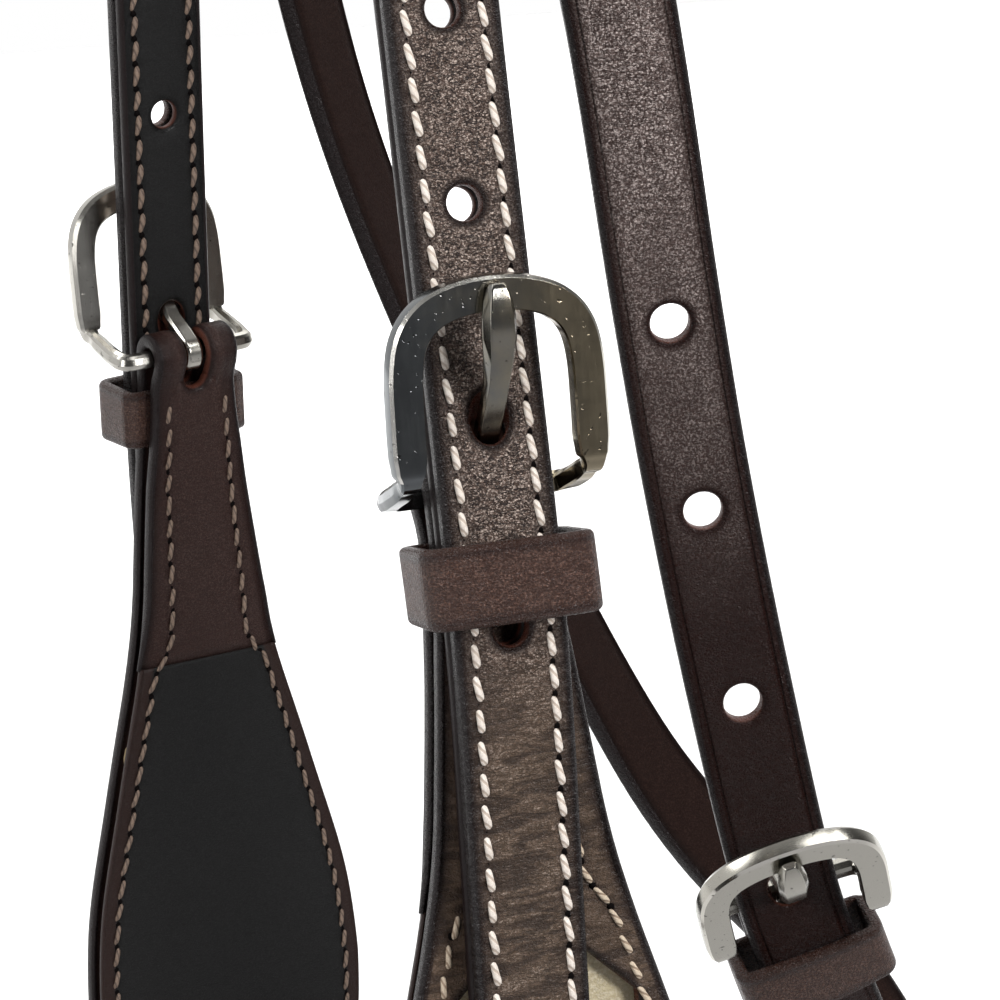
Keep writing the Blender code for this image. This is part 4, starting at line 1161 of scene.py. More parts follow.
for side, tag in ((1, "near"), (-1, "far")):
    build_bit_strap(side, tag)

# %% [markdown]
# ## The throatlatch
# One strap goes round the throat and over the poll behind the crown. It is a single ply with
# a creased line along each edge. Its line is a smooth curve through the points where it
# hangs, and each point also says which way the strap's face looks.

# %% The throat strap
THROAT_BESIDE = 0.0170
THROAT_START = 0.130
THROAT_BACK = 0.103
THROAT_DROP = 0.430
THROAT_BILLET = 0.062
THROAT_CHAPE = 0.046
THROAT_HOLE_STEP = 0.0300
THROAT_HOLE_RADIUS = 0.0029
THROAT_TONGUE_SLANT = 0.0017
THROAT_TONGUE_STRETCH = 1.20
THROAT_HOLES_UP = 3
THROAT_SLOT_UP = 0.0055
THROAT_HOLES_DOWN = 1
THROAT_TILT = math.radians(24.0)
THROAT_THICKEN = 0.070
THROAT_SHIFT = 0.250
THROAT_BAR_RUN = 0.2297
THROAT_TONGUE_UP = 0.0077
THROAT_ROUTE_SHARES = (
    ((0.860, 0.326, -0.483), (1.00, -0.27, 0.00)),
    ((0.742, 0.406, -0.591), (1.00, -0.27, 0.00)),
    ((0.686, 0.454, -0.657), (1.00, -0.27, 0.00)),
    ((0.676, 0.508, -0.733), (1.00, -0.27, 0.00)),
    ((0.565, 0.601, -0.817), (1.00, -0.27, -0.10)),
    ((0.395, 0.725, -0.889), (0.90, 0.05, -0.35)),
    ((0.191, 0.870, -0.949), (0.60, 0.20, -0.75)),
    ((-0.043, 0.998, -0.984), (0.05, 0.35, -0.90)),
    ((-0.339, 1.046, -0.960), (-0.45, 0.30, -0.80)),
    ((-0.573, 0.984, -0.911), (-0.75, 0.05, -0.50)),
    ((-0.757, 0.802, -0.852), (-0.80, -0.35, -0.20)),
    ((-0.878, 0.667, -0.785), (-0.75, -0.60, -0.05)),
    ((-0.960, 0.410, -0.630), (-0.70, -0.70, 0.00)),
    ((-1.007, 0.254, -0.492), (-0.75, -0.65, 0.00)),
)
ROUTE_STEPS = 6
ARCH_STEPS = 24
STRAIGHT_STEP = 0.012


def throat_route():
    """Points and outward ways round the throatlatch's line, from the near side down."""
    radius = MASTER_RADIUS
    scale = Vector((radius, THROAT_BACK, THROAT_DROP))
    knots = [(Vector((radius, THROAT_BESIDE, -THROAT_START)), Vector((1, 0, 0)))]
    for share, way in THROAT_ROUTE_SHARES:
        knots.append((Vector(share) * scale, Vector(way)))
    knots.append((Vector((-radius, THROAT_BESIDE, -THROAT_START)), Vector((-1, 0, 0))))
    rise = Vector((0, 0, THROAT_START / 3))
    knots = [(knots[0][0] + rise, knots[0][1])] + knots + [(knots[-1][0] + rise, knots[-1][1])]
    points, ways = [], []
    for k in range(1, len(knots) - 2):
        p0, p1, p2, p3 = (knots[k + j][0] for j in (-1, 0, 1, 2))
        for j in range(ROUTE_STEPS):
            u = j / ROUTE_STEPS
            points.append(curve_between(p0, p1, p2, p3, u))
            ways.append(knots[k][1] * (1 - u) + knots[k + 1][1] * u)
    for z in spread(-THROAT_START, -CROWN_IN - radius, STRAIGHT_STEP):
        points.append(Vector((-radius, THROAT_BESIDE, z)))
        ways.append(Vector((-1, 0, 0)))
    for k in range(1, ARCH_STEPS):
        angle = math.pi * k / ARCH_STEPS
        points.append(Vector((-radius * math.cos(angle), THROAT_BESIDE,
                              -CROWN_IN - radius + radius * math.sin(angle))))
        ways.append(Vector((-math.cos(angle), 0, math.sin(angle))))
    for z in spread(-CROWN_IN - radius, -THROAT_START, STRAIGHT_STEP)[:-1]:
        points.append(Vector((radius, THROAT_BESIDE, z)))
        ways.append(Vector((1, 0, 0)))
    return points, ways


class ThroatLine:
    """The closed line of the throatlatch, measured downward from its heel bar."""

    def __init__(self):
        points, ways = throat_route()
        self.points = np.array([tuple(p) for p in points + [points[0]]])
        self.ways = np.array([tuple(w) for w in ways + [ways[0]]])
        gaps = np.linalg.norm(np.diff(self.points, axis=0), axis=1)
        self.runs = np.concatenate(([0.0], np.cumsum(gaps)))
        self.length = float(self.runs[-1])

    def read(self, table, run):
        run = (run + THROAT_BAR_RUN) % self.length
        return Vector([float(np.interp(run, self.runs, table[:, k])) for k in range(3)])

    def soft(self, table, run, reach=0.006):
        """The table smoothed over a short reach, so the fine strap shows no corners."""
        total = Vector((0, 0, 0))
        for shift, weight in ((-1.0, 1), (-0.5, 3), (0.0, 4), (0.5, 3), (1.0, 1)):
            total += self.read(table, run + shift * reach) * weight
        return total / 12

    def frame(self, run):
        ahead, behind = (self.soft(self.points, run + shift) for shift in (0.006, -0.006))
        tangent = (ahead - behind).normalized()
        way = self.soft(self.ways, run)
        out = (way - tangent * way.dot(tangent)).normalized()
        return self.soft(self.points, run), out, out.cross(tangent), -tangent

    def place(self, along, across, outward):
        point, out, back, _ = self.frame(along)
        return point + back * across + out * outward


def throat_dips(distance, *where):
    crease = math.exp(-((distance - 0.0019) / 0.0003) ** 2)
    return -0.00010 * crease - 0.00048 * math.exp(-(distance / 0.0016) ** 2)


def build_throat_strap(line):
    total = line.length
    mid_out = CROWN_IN + THROAT_PLY / 2
    rows = [(below, outward, STRAP_HALF, thick)
            for below, outward, thick in chape_rows(THROAT_CHAPE, PLY, PLY_IN - SEAT_GAP)]
    first = len(rows)
    reach = total + THROAT_BILLET
    spots = [total - THROAT_TONGUE_UP - k * THROAT_HOLE_STEP
             for k in range(-THROAT_HOLES_DOWN, THROAT_HOLES_UP + 1)]
    runs = dense(spread(0.0015, reach - BILLET_POINT, 0.0034), spots, 0.0066, 0.0011)
    tip = [reach - BILLET_POINT * (1 - k / 12) ** 2 for k in range(13)]
    runs = [r for r in runs if r < tip[0] - 0.0002] + tip
    for run in runs:
        thicker = smooth_step((run - THROAT_BILLET - BILLET_POINT) / THROAT_THICKEN)
        outer = smooth_step((run - THROAT_BILLET - BILLET_POINT) / THROAT_SHIFT)
        thick = PLY + (THROAT_PLY - PLY) * thicker
        inner = PLY_IN + thick / 2
        rows.append((run, inner + (mid_out - inner) * outer, billet_half(reach - run), thick))
    spine = Spine(rows, line.place)
    length_at = length_reader(rows, spine, first)
    holes = [chape_slot(spine, first)]
    for k, spot in zip(range(-THROAT_HOLES_DOWN, THROAT_HOLES_UP + 1), spots):
        if k:
            holes.append(round_hole(length_at(spot), THROAT_HOLE_RADIUS))
        else:
            holes.append(round_hole(length_at(total - THROAT_SLOT_UP), THROAT_HOLE_RADIUS,
                                    THROAT_TONGUE_SLANT, THROAT_TONGUE_STRETCH))
    strap = make_strap("throat_leather_strap", rows, line.place, (THROAT_BROWN, INNER_BROWN),
                       0.0010, holes, throat_dips)
    keep(strap, "throat_strap", "straps", "brown_leather")


throat_line = ThroatLine()
build_throat_strap(throat_line)
throat_bar, throat_out, _, throat_up = throat_line.frame(0.0)
throat_tilted = (seat_matrix(throat_bar, throat_out, throat_up)
                 @ Matrix.Rotation(THROAT_TILT, 4, "Y"))
print("throatlatch line %.0f mm long" % (throat_line.length / MM))

# %% [markdown]
# ## The browband
# The browband slides on the crown and the throatlatch. Each end is turned back round both
# straps and lapped on its own inside, and the run across the forehead is lined.

# %% The browband and its lining
BROW_DROP = 0.105
BROW_WIDTH = 0.0190
BROW_PLY = 0.0024
BROW_LINING = 0.0014
BROW_FRONT = 0.112
BROW_CLEARANCE = 0.0005
BROW_LAP = 0.0200
BROW_STEPS = 40


def brow_place(along, across, outward):
    return Vector((outward, along, -BROW_DROP + across))


def brow_path():
    outside = CROWN_RADIUS + CROWN_OUT - CROWN_IN + BROW_CLEARANCE + BROW_PLY / 2
    inside = CROWN_RADIUS - BROW_CLEARANCE - BROW_PLY / 2
    back = THROAT_BESIDE + STRAP_HALF + BROW_CLEARANCE + BROW_PLY / 2
    front = -STRAP_HALF - BROW_CLEARANCE - BROW_PLY / 2
    lapped = outside - BROW_PLY - SEAT_GAP
    turn = BROW_PLY
    path = [(y, lapped) for y in spread(front - BROW_LAP, front - turn * 3, 0.003)]
    for k in range(1, 6):
        share = k / 6
        path.append((front - turn * 3 * (1 - share),
                     lapped + (inside - lapped) * smooth_step(share)))
    path += [(y, inside) for y in spread(front, back - turn, 0.003)]
    for k in range(1, 8):
        angle = math.pi / 2 * k / 8
        path.append((back - turn + turn * math.sin(angle), inside + turn - turn * math.cos(angle)))
    path += [(back, x) for x in spread(inside + turn, outside - turn, 0.002)]
    for k in range(1, 8):
        angle = math.pi / 2 * k / 8
        path.append((back - turn + turn * math.cos(angle),
                     outside - turn + turn * math.sin(angle)))
    end = front - BROW_LAP - turn
    path += [(y, outside) for y in spread(back - turn, end, 0.003)]
    return path, outside, end


def brow_arc(outside, start, inset):
    rows = []
    for k in range(1, BROW_STEPS + 1):
        angle = math.pi / 2 * k / BROW_STEPS
        rows.append((start - (BROW_FRONT + start - inset) * math.sin(angle),
                     (outside - inset) * math.cos(angle)))
    return rows


def both_sides(near):
    """A path that ends on the middle line, and its mirror image after it."""
    return near + [(y, -x) for y, x in reversed(near[:-1])]


def brow_dips(distance, *where):
    groove = math.exp(-((distance - SEW_IN) / 0.0006) ** 2)
    return -0.00016 * groove - 0.00020 * math.exp(-(distance / 0.0012) ** 2)


def brow_seam(distance, *where):
    return abs(distance - SEW_IN)


def build_browband():
    near, outside, start = brow_path()
    path = both_sides(near + brow_arc(outside, start, 0.0))
    rows = [(y, x, BROW_WIDTH / 2, BROW_PLY) for y, x in path]
    band = make_strap("browband_leather", rows, brow_place, (BROWN, BROWN), dips=brow_dips,
                      seam=brow_seam)
    keep(band, "browband", "browband", "brown_leather")
    inset = BROW_PLY / 2 + SEAT_GAP + BROW_LINING / 2
    path = both_sides([(start, outside - inset)] + brow_arc(outside, start, inset))
    rows = [(y, x, BROW_WIDTH / 2 - 0.0004, BROW_LINING) for y, x in path]
    lining = make_strap("browband_back", rows, brow_place, (BLACK,), 0.0005)
    keep(lining, "browband_lining", "browband", "black_lining")


build_browband()

# %% [markdown]
# ## The keepers
# A keeper is a narrow leather loop that holds the billet down. It is bent over the stack of
# straps, so its corners are soft and its front bows out a little.

# %% The three keepers
KEEPER_HALF = 0.0122
KEEPER_WALL = 0.0022
KEEPER_BOW = 0.0007
KEEPER_SOFT = 0.0016
KEEPER_STEP = 0.0012


def keeper_path(back_out, front_out):
    """The middle line of the loop, as across, outward and wall."""
    near = back_out - SEAT_GAP - KEEPER_BACK / 2
    far = front_out + SEAT_GAP + KEEPER_WALL / 2
    half = KEEPER_HALF - KEEPER_WALL / 2
    corners = []
    for x_side, y_side, first in ((1, 1, 0), (-1, 1, 90), (-1, -1, 180), (1, -1, 270)):
        centre_x = (far if x_side > 0 else near) - x_side * KEEPER_SOFT
        centre_y = y_side * (half - KEEPER_SOFT)
        for k in range(7):
            angle = math.radians(first + 90 * k / 6)
            corners.append((centre_y + KEEPER_SOFT * math.sin(angle),
                            centre_x + KEEPER_SOFT * math.cos(angle)))
    full = []
    for (y, x), (next_y, next_x) in zip(corners, corners[1:] + corners[:1]):
        count = max(1, round(math.hypot(next_y - y, next_x - x) / KEEPER_STEP))
        full += [(y + (next_y - y) * (j / count), x + (next_x - x) * (j / count))
                 for j in range(count)]
    path = []
    for y, x in full:
        bow = KEEPER_BOW * (1 - (y / KEEPER_HALF) ** 2) if x > (near + far) / 2 else 0.0
        path.append((y, x + bow, KEEPER_BACK if x < near + KEEPER_SOFT / 2 else KEEPER_WALL))
    return path


def keeper_dips(distance, across, top):
    return -0.00020 * math.exp(-(distance / 0.0011) ** 2) if top else 0.0


def build_keeper(tag, strap_place, back_out, front_out):
    centre = KEEPER_TOP + KEEPER_HEIGHT / 2

    def place(along, across, outward):
        return strap_place(centre - across, along, outward)

    rows = [(y, x, KEEPER_HEIGHT / 2, wall)
            for y, x, wall in reversed(keeper_path(back_out, front_out))]
    keep(make_loop(tag + "_keeper_loop", rows, place), tag + "_keeper", "straps",
         "keeper_leather")


def make_loop(name, rows, place):
    """A closed band of leather, its rings turned by their neighbours on both sides."""
    points = np.array([(r[0], r[1]) for r in rows])
    runs = np.roll(points, -1, axis=0) - np.roll(points, 1, axis=0)
    runs = runs / np.linalg.norm(runs, axis=1)[:, None]
    mesh = bmesh.new()
    layers = point_layers(mesh, "edge", "seam", "rim")
    rings = []
    for (along, outward, half, thick), run in zip(rows, runs):
        rings.append([
            marked_point(mesh, layers, place(along - run[1] * rise, across,
                                             outward + run[0] * rise),
                         (distance, FAR_OFF, FAR_OFF))
            for across, rise, distance, _ in ring_points(half, thick, SOFT_EDGE, keeper_dips)])
    join_rings(mesh, rings, closed=True)
    return stand(smooth_object(name, mesh, KEEPER_BROWN))


for side, tag in ((1, "near"), (-1, "far")):
    build_keeper(tag, cheek_place(side), PLY_IN, CROWN_OUT)
build_keeper("throat", throat_line.place, PLY_IN, CROWN_IN + THROAT_PLY)

# %% [markdown]
# ## The buckles
# Each frame is cast with a flat face, a wide bevel outside and a narrow one inside. Its legs
# run back beside the strap to the heel bar. The ring of points that is swept round it changes
# from round at the bar to this bevelled shape, and a Bevel modifier takes off the sharpness.

# %% The buckle frames and tongues
SIDE_TILT = math.radians(8.0)
BUCKLE_HALF = 0.0150
BUCKLE_TOP = 0.0300
BUCKLE_BAND = 0.0047
BUCKLE_DEPTH = 0.0030
LEG_FOOT = 0.0045
TONGUE_EYE_RADIUS = 0.0033
TONGUE_EYE_WIDTH = 0.0032
TONGUE_WRAP = math.radians(235.0)
TONGUE_TIP_WIDTH = 0.0046
TONGUE_THICK = 0.0024
TONGUE_TOP = 0.0290
BAND_SECTION = ((-0.50, -0.28), (-0.50, 0.38), (-0.46, 0.50), (0.38, 0.50), (0.47, 0.37),
                (0.50, 0.10), (0.50, -0.28), (0.38, -0.50), (0.0, -0.50), (-0.38, -0.50))
BEVEL_FACETS = (3,)
BEVEL_FROM = 0.75
FRAME_STEPS = 6
METAL_SHARP = 24.0
METAL_BEVEL = 0.00022
TONGUE_SHARP = 30.0
TONGUE_BEVEL = 0.00018
TONGUE_EYE_STEPS = 24
TONGUE_SHARES = (
    (0.12, 0.137, 0.70, 1.0, 0.0), (0.27, 0.190, 0.72, 1.0, 0.0),
    (0.47, 0.315, 0.72, 1.0, 0.0), (0.69, 0.460, 0.72, 1.0, 0.1),
    (0.82, 0.560, 0.76, 1.0, 0.5), (0.93, 0.660, 0.92, 1.0, 1.0),
    (0.985, 0.760, 1.02, 1.0, 1.0), (1.00, 0.850, 1.00, 0.98, 1.0),
    (1.00, 0.925, 0.86, 0.92, 1.0), (1.00, 0.975, 0.66, 0.80, 1.0),
    (0.99, 1.000, 0.46, 0.55, 1.0),
)


def frame_path(depth):
    """Point, way across the band, size and squareness round the frame, bar first."""
    middle = depth + BUCKLE_DEPTH / 2
    leg = BUCKLE_HALF - BUCKLE_BAND / 2
    top = BUCKLE_TOP - BUCKLE_BAND / 2
    bar = (2 * BAR_RADIUS, 2 * BAR_RADIUS, 0.0)
    foot = (BUCKLE_BAND * 0.58, 2 * BAR_RADIUS, 0.15)
    turn = (BUCKLE_BAND * 0.50, BUCKLE_DEPTH * 0.90, 0.30)
    heel = (BUCKLE_BAND * 0.64, BUCKLE_DEPTH, 0.60)
    shin = (BUCKLE_BAND * 0.90, BUCKLE_DEPTH, 0.92)
    band = (BUCKLE_BAND, BUCKLE_DEPTH, 1.0)
    out_dir, side_dir, top_dir = Vector((-1, 0, 0)), Vector((0, 1, 0)), Vector((0, 0, 1))
    half = [
        (Vector((0, 0.00 * leg, 0)), out_dir, bar),
        (Vector((0, 0.72 * leg, 0)), out_dir, bar),
        (Vector((0.06 * middle, 0.95 * leg, 0.03 * LEG_FOOT)), out_dir + side_dir, bar),
        (Vector((0.30 * middle, leg, 0.22 * LEG_FOOT)), side_dir, foot),
        (Vector((0.66 * middle, leg, 0.55 * LEG_FOOT)), side_dir, foot),
        (Vector((0.86 * middle, leg, 0.78 * LEG_FOOT)), side_dir, turn),
        (Vector((0.985 * middle, leg, 0.96 * LEG_FOOT)), side_dir, heel),
        (Vector((middle, leg, 1.26 * LEG_FOOT)), side_dir, shin),
        (Vector((middle, leg, 1.80 * LEG_FOOT)), side_dir, band),
        (Vector((middle, leg, 0.42 * top)), side_dir, band),
        (Vector((middle, 0.985 * leg, 0.66 * top)), side_dir, band),
        (Vector((middle, 0.90 * leg, 0.82 * top)), side_dir * 2 + top_dir, band),
        (Vector((middle, 0.70 * leg, 0.925 * top)), side_dir + top_dir * 1.6, band),
        (Vector((middle, 0.38 * leg, 0.983 * top)), side_dir * 0.22 + top_dir, band),
        (Vector((middle, 0.0, top)), top_dir, band),
    ]
    mirrored = [(Vector((p.x, -p.y, p.z)), Vector((w.x, -w.y, w.z)), s)
                for p, w, s in reversed(half[1:-1])]
    return half + mirrored


def frame_stations(depth):
    """The frame's path made fine: point, way across the band, size and squareness."""
    points, ways, sizes = zip(*frame_path(depth))
    ways = [way.normalized() for way in ways]
    sizes = [Vector(size) for size in sizes]
    count = len(points)
    fine = []
    for k in range(count):
        after = (k + 1) % count
        near = [points[(k + j) % count] for j in (-1, 0, 1, 2)]
        for j in range(FRAME_STEPS):
            u = j / FRAME_STEPS
            fine.append((curve_between(*near, u), ways[k].lerp(ways[after], u),
                         sizes[k].lerp(sizes[after], smooth_step(u))))
    return fine


def frame_ring(point, wide, thin, size):
    """The band's section at one station, between round (bar) and bevelled (band)."""
    ring = []
    for a, b in BAND_SECTION:
        angle = math.atan2(b, a)
        across, through = a * size.x, b * size.y
        round_across = math.cos(angle) * 0.5 * size.x
        round_through = math.sin(angle) * 0.5 * size.y
        ring.append(point + wide * (round_across + (across - round_across) * size.z)
                    - thin * (round_through + (through - round_through) * size.z))
    return ring


def build_frame(tag, matrix, depth, material):
    fine = frame_stations(depth)
    mesh = bmesh.new()
    rings = []
    for k, (point, wide, size) in enumerate(fine):
        run = (fine[(k + 1) % len(fine)][0] - fine[k - 1][0]).normalized()
        wide = (wide - run * wide.dot(run)).normalized()
        ring = frame_ring(point, wide, run.cross(wide), size)
        rings.append([mesh.verts.new(matrix @ p) for p in ring])
    # The outer bevel facets take the bright nickel: worn plating, and a painted highlight.
    for index, face in enumerate(join_rings(mesh, rings, closed=True)):
        k, j = divmod(index, len(BAND_SECTION))
        if j in BEVEL_FACETS and fine[k][2].z > BEVEL_FROM:
            face.material_index = 1
    finish_metal(tag + "_frame_cast", mesh, tag + "_buckle", tag + "_frame",
                 (material, WORN_HIGHLIGHT_NICKEL), METAL_SHARP, METAL_BEVEL)


def finish_metal(name, mesh, node, body, materials, sharp, width):
    obj = stand(smooth_object(name, mesh, *materials))
    obj.data.set_sharp_from_angle(angle=math.radians(sharp))
    bevel = obj.modifiers.new("edges", "BEVEL")
    bevel.width = width
    bevel.segments = 3
    bevel.limit_method = "ANGLE"
    bevel.angle_limit = math.radians(sharp)
    bevel.use_clamp_overlap = True
    bevel.harden_normals = True
    keep(obj, node, body, "nickel")


def tongue_line(depth):
    """Outward, upward, width, thickness and facet: round the bar's eye, then up the blade."""
    rest = depth + BUCKLE_DEPTH + SEAT_GAP + TONGUE_THICK / 2
    wall = TONGUE_EYE_RADIUS - PLY_IN
    middle = PLY_IN + wall / 2
    line = []
    for k in range(TONGUE_EYE_STEPS + 1):
        angle = -TONGUE_WRAP * k / TONGUE_EYE_STEPS
        line.append((middle * math.cos(angle), middle * math.sin(angle), TONGUE_EYE_WIDTH, wall,
                     0.0))
    for out_share, up_share, width, thick, facet in TONGUE_SHARES:
        line.append((rest * out_share, TONGUE_TOP * up_share, TONGUE_TIP_WIDTH * width,
                     TONGUE_THICK * thick, facet))
    return line


def build_tongue(tag, matrix, depth, material):
    line = tongue_line(depth)
    mesh = bmesh.new()
    rings = []
    for k, (out, up, width, thick, facet) in enumerate(line):
        before, after = line[max(k - 1, 0)], line[min(k + 1, len(line) - 1)]
        run = Vector((after[0] - before[0], after[1] - before[1])).normalized()
        flat = 0.40 - 0.06 * facet
        low = max(0.30 - 0.34 * facet, -0.05)
        section = ((-flat, 0.5), (flat, 0.5), (0.5, low), (0.5, -0.25), (0.34, -0.5),
                   (-0.34, -0.5), (-0.5, -0.25), (-0.5, low))
        rings.append([
            mesh.verts.new(matrix @ Vector((out + run.y * (b * thick), a * width,
                                            up - run.x * (b * thick)))) for a, b in section])
    join_rings(mesh, rings)
    mesh.faces.new(rings[0])
    mesh.faces.new(rings[-1])
    finish_metal(tag + "_tongue_cast", mesh, tag + "_tongue", tag + "_tongue", (material,),
                 TONGUE_SHARP, TONGUE_BEVEL)


depth = CROWN_OUT + SEAT_GAP
# The near buckle takes the darker copy of the nickel, a painted dark reflection; the far one is
# the same buckle in plain nickel.
for side, tag, material in ((1, "near", DARK_REFLECTION_NICKEL), (-1, "far", LIGHT_NICKEL)):
    seat = side_matrix(side) @ Matrix.Rotation(SIDE_TILT, 4, "Y")
    build_frame(tag, seat, depth, material)
    build_tongue(tag, seat, depth, material)
depth = CROWN_IN + THROAT_PLY + SEAT_GAP
build_frame("throat", throat_tilted, depth, LIGHT_NICKEL)
build_tongue("throat", throat_tilted, depth, LIGHT_NICKEL)

# %% Better metal on the screws that stay as they are
for node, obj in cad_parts.items():
    if "screw" in node:
        obj.data.materials.clear()
        obj.data.materials.append(LIGHT_NICKEL)
print("screws finished:", sum("screw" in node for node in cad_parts))

# %% [markdown]
# ## The sewing
# Thick waxed thread, two strands twisted together. A row is a curve that lies on the
# leather and carries the way that the leather faces. Geometry Nodes measures the curve off
# in stitches and stands one on each point, turned along the row and slanted, as an awl sets
# them.

# %% One stitch, and the tree that sows it along a row


def thread_finish(name, light, shade):
    """Two strands laid together: slanting dark lines, painted shade where the strands meet, that
    follow the stitch's own numbers.
    """
    f = Finish(name)
    fibre = f.noise(4200.0, 3.0, 0.6)
    lay = (f.attribute("stitch_along") * 2.1 - f.attribute("stitch_across") * 0.42) * math.tau
    strand = lay.sine().between(-1.05, -0.15)
    soiled = f.noise(420.0, 2.0, 0.5).between(0.40, 0.75) * 0.35
    tone = f.colour(strand * (fibre.between(0.25, 0.60) * 0.5 + 0.5), shade, light)
    f.set(base_color=f.colour(soiled, tone, shade), roughness=0.60)
    f.bump(strand * 1.2 + fibre * 0.5, 0.00007)
    return f.material


PALE_THREAD = thread_finish("pale_thread", (0.80, 0.73, 0.66), (0.48, 0.39, 0.32))
TAN_THREAD = thread_finish("tan_thread", (0.64, 0.53, 0.40), (0.27, 0.19, 0.13))
DARK_THREAD = thread_finish("dark_thread", (0.21, 0.145, 0.105), (0.09, 0.06, 0.045))
# A near-black spot between stitches: painted shade in each awl hole.
STITCH_GAP_SHADE = Finish("stitch_gap_painted_shade")
STITCH_GAP_SHADE.set(base_color=(0.003, 0.002, 0.002, 1.0), roughness=0.8, specular_ior_level=0.05)


def stitch_object():
    """A stitch one unit long, plump in the middle, its ends diving into the leather."""
    mesh = bmesh.new()
    layers = point_layers(mesh, "stitch_along", "stitch_across")
    rings = []
    count, sides = 9, 8
    for k in range(count):
        share = k / (count - 1)
        arc = math.sin(math.pi * share)
        size = 0.34 + 0.66 * arc ** 0.5
        ring = []
        for j in range(sides):
            angle = 2 * math.pi * (j + 0.5) / sides
            lobe = 1.0 + 0.10 * math.cos(2 * (angle - 4.2 * share))
            place = (share - 0.5, 0.5 * size * lobe * math.cos(angle),
                     0.42 * size * lobe * math.sin(angle) + 0.45 * arc ** 0.6 - 0.45)
            ring.append(marked_point(mesh, layers, place, (share, math.cos(angle))))
        rings.append(ring)
    join_rings(mesh, rings)
    mesh.faces.new(rings[0])
    mesh.faces.new(rings[-1])
    return smooth_object("one_stitch", mesh)


def gap_shade_object():
    """A near-black spot between two stitches: painted shade in the awl hole where the thread
    dives.
    """
    mesh = bmesh.new()
    bmesh.ops.create_icosphere(mesh, subdivisions=1, radius=0.5)
    return smooth_object("one_prick", mesh)


def sowing_tree(name):
    """Stands copies of an object along curves, with named sizes."""
    tree = bpy.data.node_groups.new(name, "GeometryNodeTree")
    face = tree.interface
    for way in ("INPUT", "OUTPUT"):
        face.new_socket("Geometry", in_out=way, socket_type="NodeSocketGeometry")
    sockets = {}
    for label, kind, value in (
            ("Pitch", "NodeSocketFloat", 0.0044), ("Length", "NodeSocketFloat", 0.0034),
            ("Width", "NodeSocketFloat", 0.0009), ("Height", "NodeSocketFloat", 0.0009),
            ("Slant", "NodeSocketFloat", 0.20), ("Lift", "NodeSocketFloat", 0.0),
            ("Unevenness", "NodeSocketFloat", 0.06), ("Seed", "NodeSocketInt", 7),
            ("Piece", "NodeSocketObject", None), ("Material", "NodeSocketMaterial", None)):
        socket = face.new_socket(label, in_out="INPUT", socket_type=kind)
        if value is not None:
            socket.default_value = value
        sockets[label] = socket.identifier
    nodes = Nodes(tree)
    made = nodes.output
    given = nodes.node("NodeGroupInput").outputs

    def maths(operation, first, second):
        return made("ShaderNodeMath", {"operation": operation}, {0: first, 1: second})

    curve = made("GeometryNodeMeshToCurve", None, {"Mesh": given["Geometry"]})
    points = made("GeometryNodeResampleCurve", {"mode": "LENGTH"},
                  {"Curve": curve, "Length": given["Pitch"]})
    tangent = made("GeometryNodeInputTangent")
    out = made("GeometryNodeInputNamedAttribute", {"data_type": "FLOAT_VECTOR"},
               {"Name": "out"}, "Attribute")
    facing = made("FunctionNodeAxesToRotation", {"primary_axis": "Z", "secondary_axis": "X"},
                  {"Primary Axis": out, "Secondary Axis": tangent})
    wobble = made("FunctionNodeRandomValue", {"data_type": "FLOAT"},
                  {2: -1.0, 3: 1.0, "Seed": given["Seed"]}, 1)
    uneven = maths("MULTIPLY", wobble, given["Unevenness"])
    spin = made("ShaderNodeCombineXYZ", None, {"Z": maths("ADD", uneven, given["Slant"])})
    turned = made("FunctionNodeRotateRotation", {"rotation_space": "LOCAL"},
                  {0: facing, 1: made("FunctionNodeEulerToRotation", None, {0: spin})})
    longer = maths("MULTIPLY", maths("ADD", uneven, 1.0), given["Length"])
    size = made("ShaderNodeCombineXYZ", None,
                {"X": longer, "Y": given["Width"], "Z": given["Height"]})
    piece = made("GeometryNodeObjectInfo", None, {"Object": given["Piece"]}, "Geometry")
    lift = made("ShaderNodeVectorMath", {"operation": "SCALE"},
                {0: out, "Scale": given["Lift"]})
    lifted = made("GeometryNodeSetPosition", None, {"Geometry": points, "Offset": lift})
    sown = made("GeometryNodeInstanceOnPoints", None,
                {"Points": lifted, "Instance": piece, "Rotation": turned, "Scale": size})
    plain = made("GeometryNodeRealizeInstances", None, {"Geometry": sown})
    painted = made("GeometryNodeSetMaterial", None,
                   {"Geometry": plain, "Material": given["Material"]})
    nodes.node("NodeGroupOutput", None, {0: painted})
    return tree, sockets


ONE_STITCH = stitch_object()
ONE_GAP_SHADE = gap_shade_object()
SOWING, SOWING_INPUTS = sowing_tree("sowing_along_a_row")
print("the sowing tree has", len(SOWING.nodes), "nodes")


def row_mesh(name, rows):
    """Polylines with an out attribute, one for each row of points and outward ways."""
    verts, edges, outs = [], [], []
    for points in rows:
        base = len(verts)
        verts += [tuple(p) for p, _ in points]
        outs += [tuple(o) for _, o in points]
        edges += [(base + k, base + k + 1) for k in range(len(points) - 1)]
    data = bpy.data.meshes.new(name)
    data.from_pydata(verts, edges, [])
    layer = data.attributes.new("out", "FLOAT_VECTOR", "POINT")
    layer.data.foreach_set("vector", np.array(outs, dtype=np.float32).ravel())
    return data


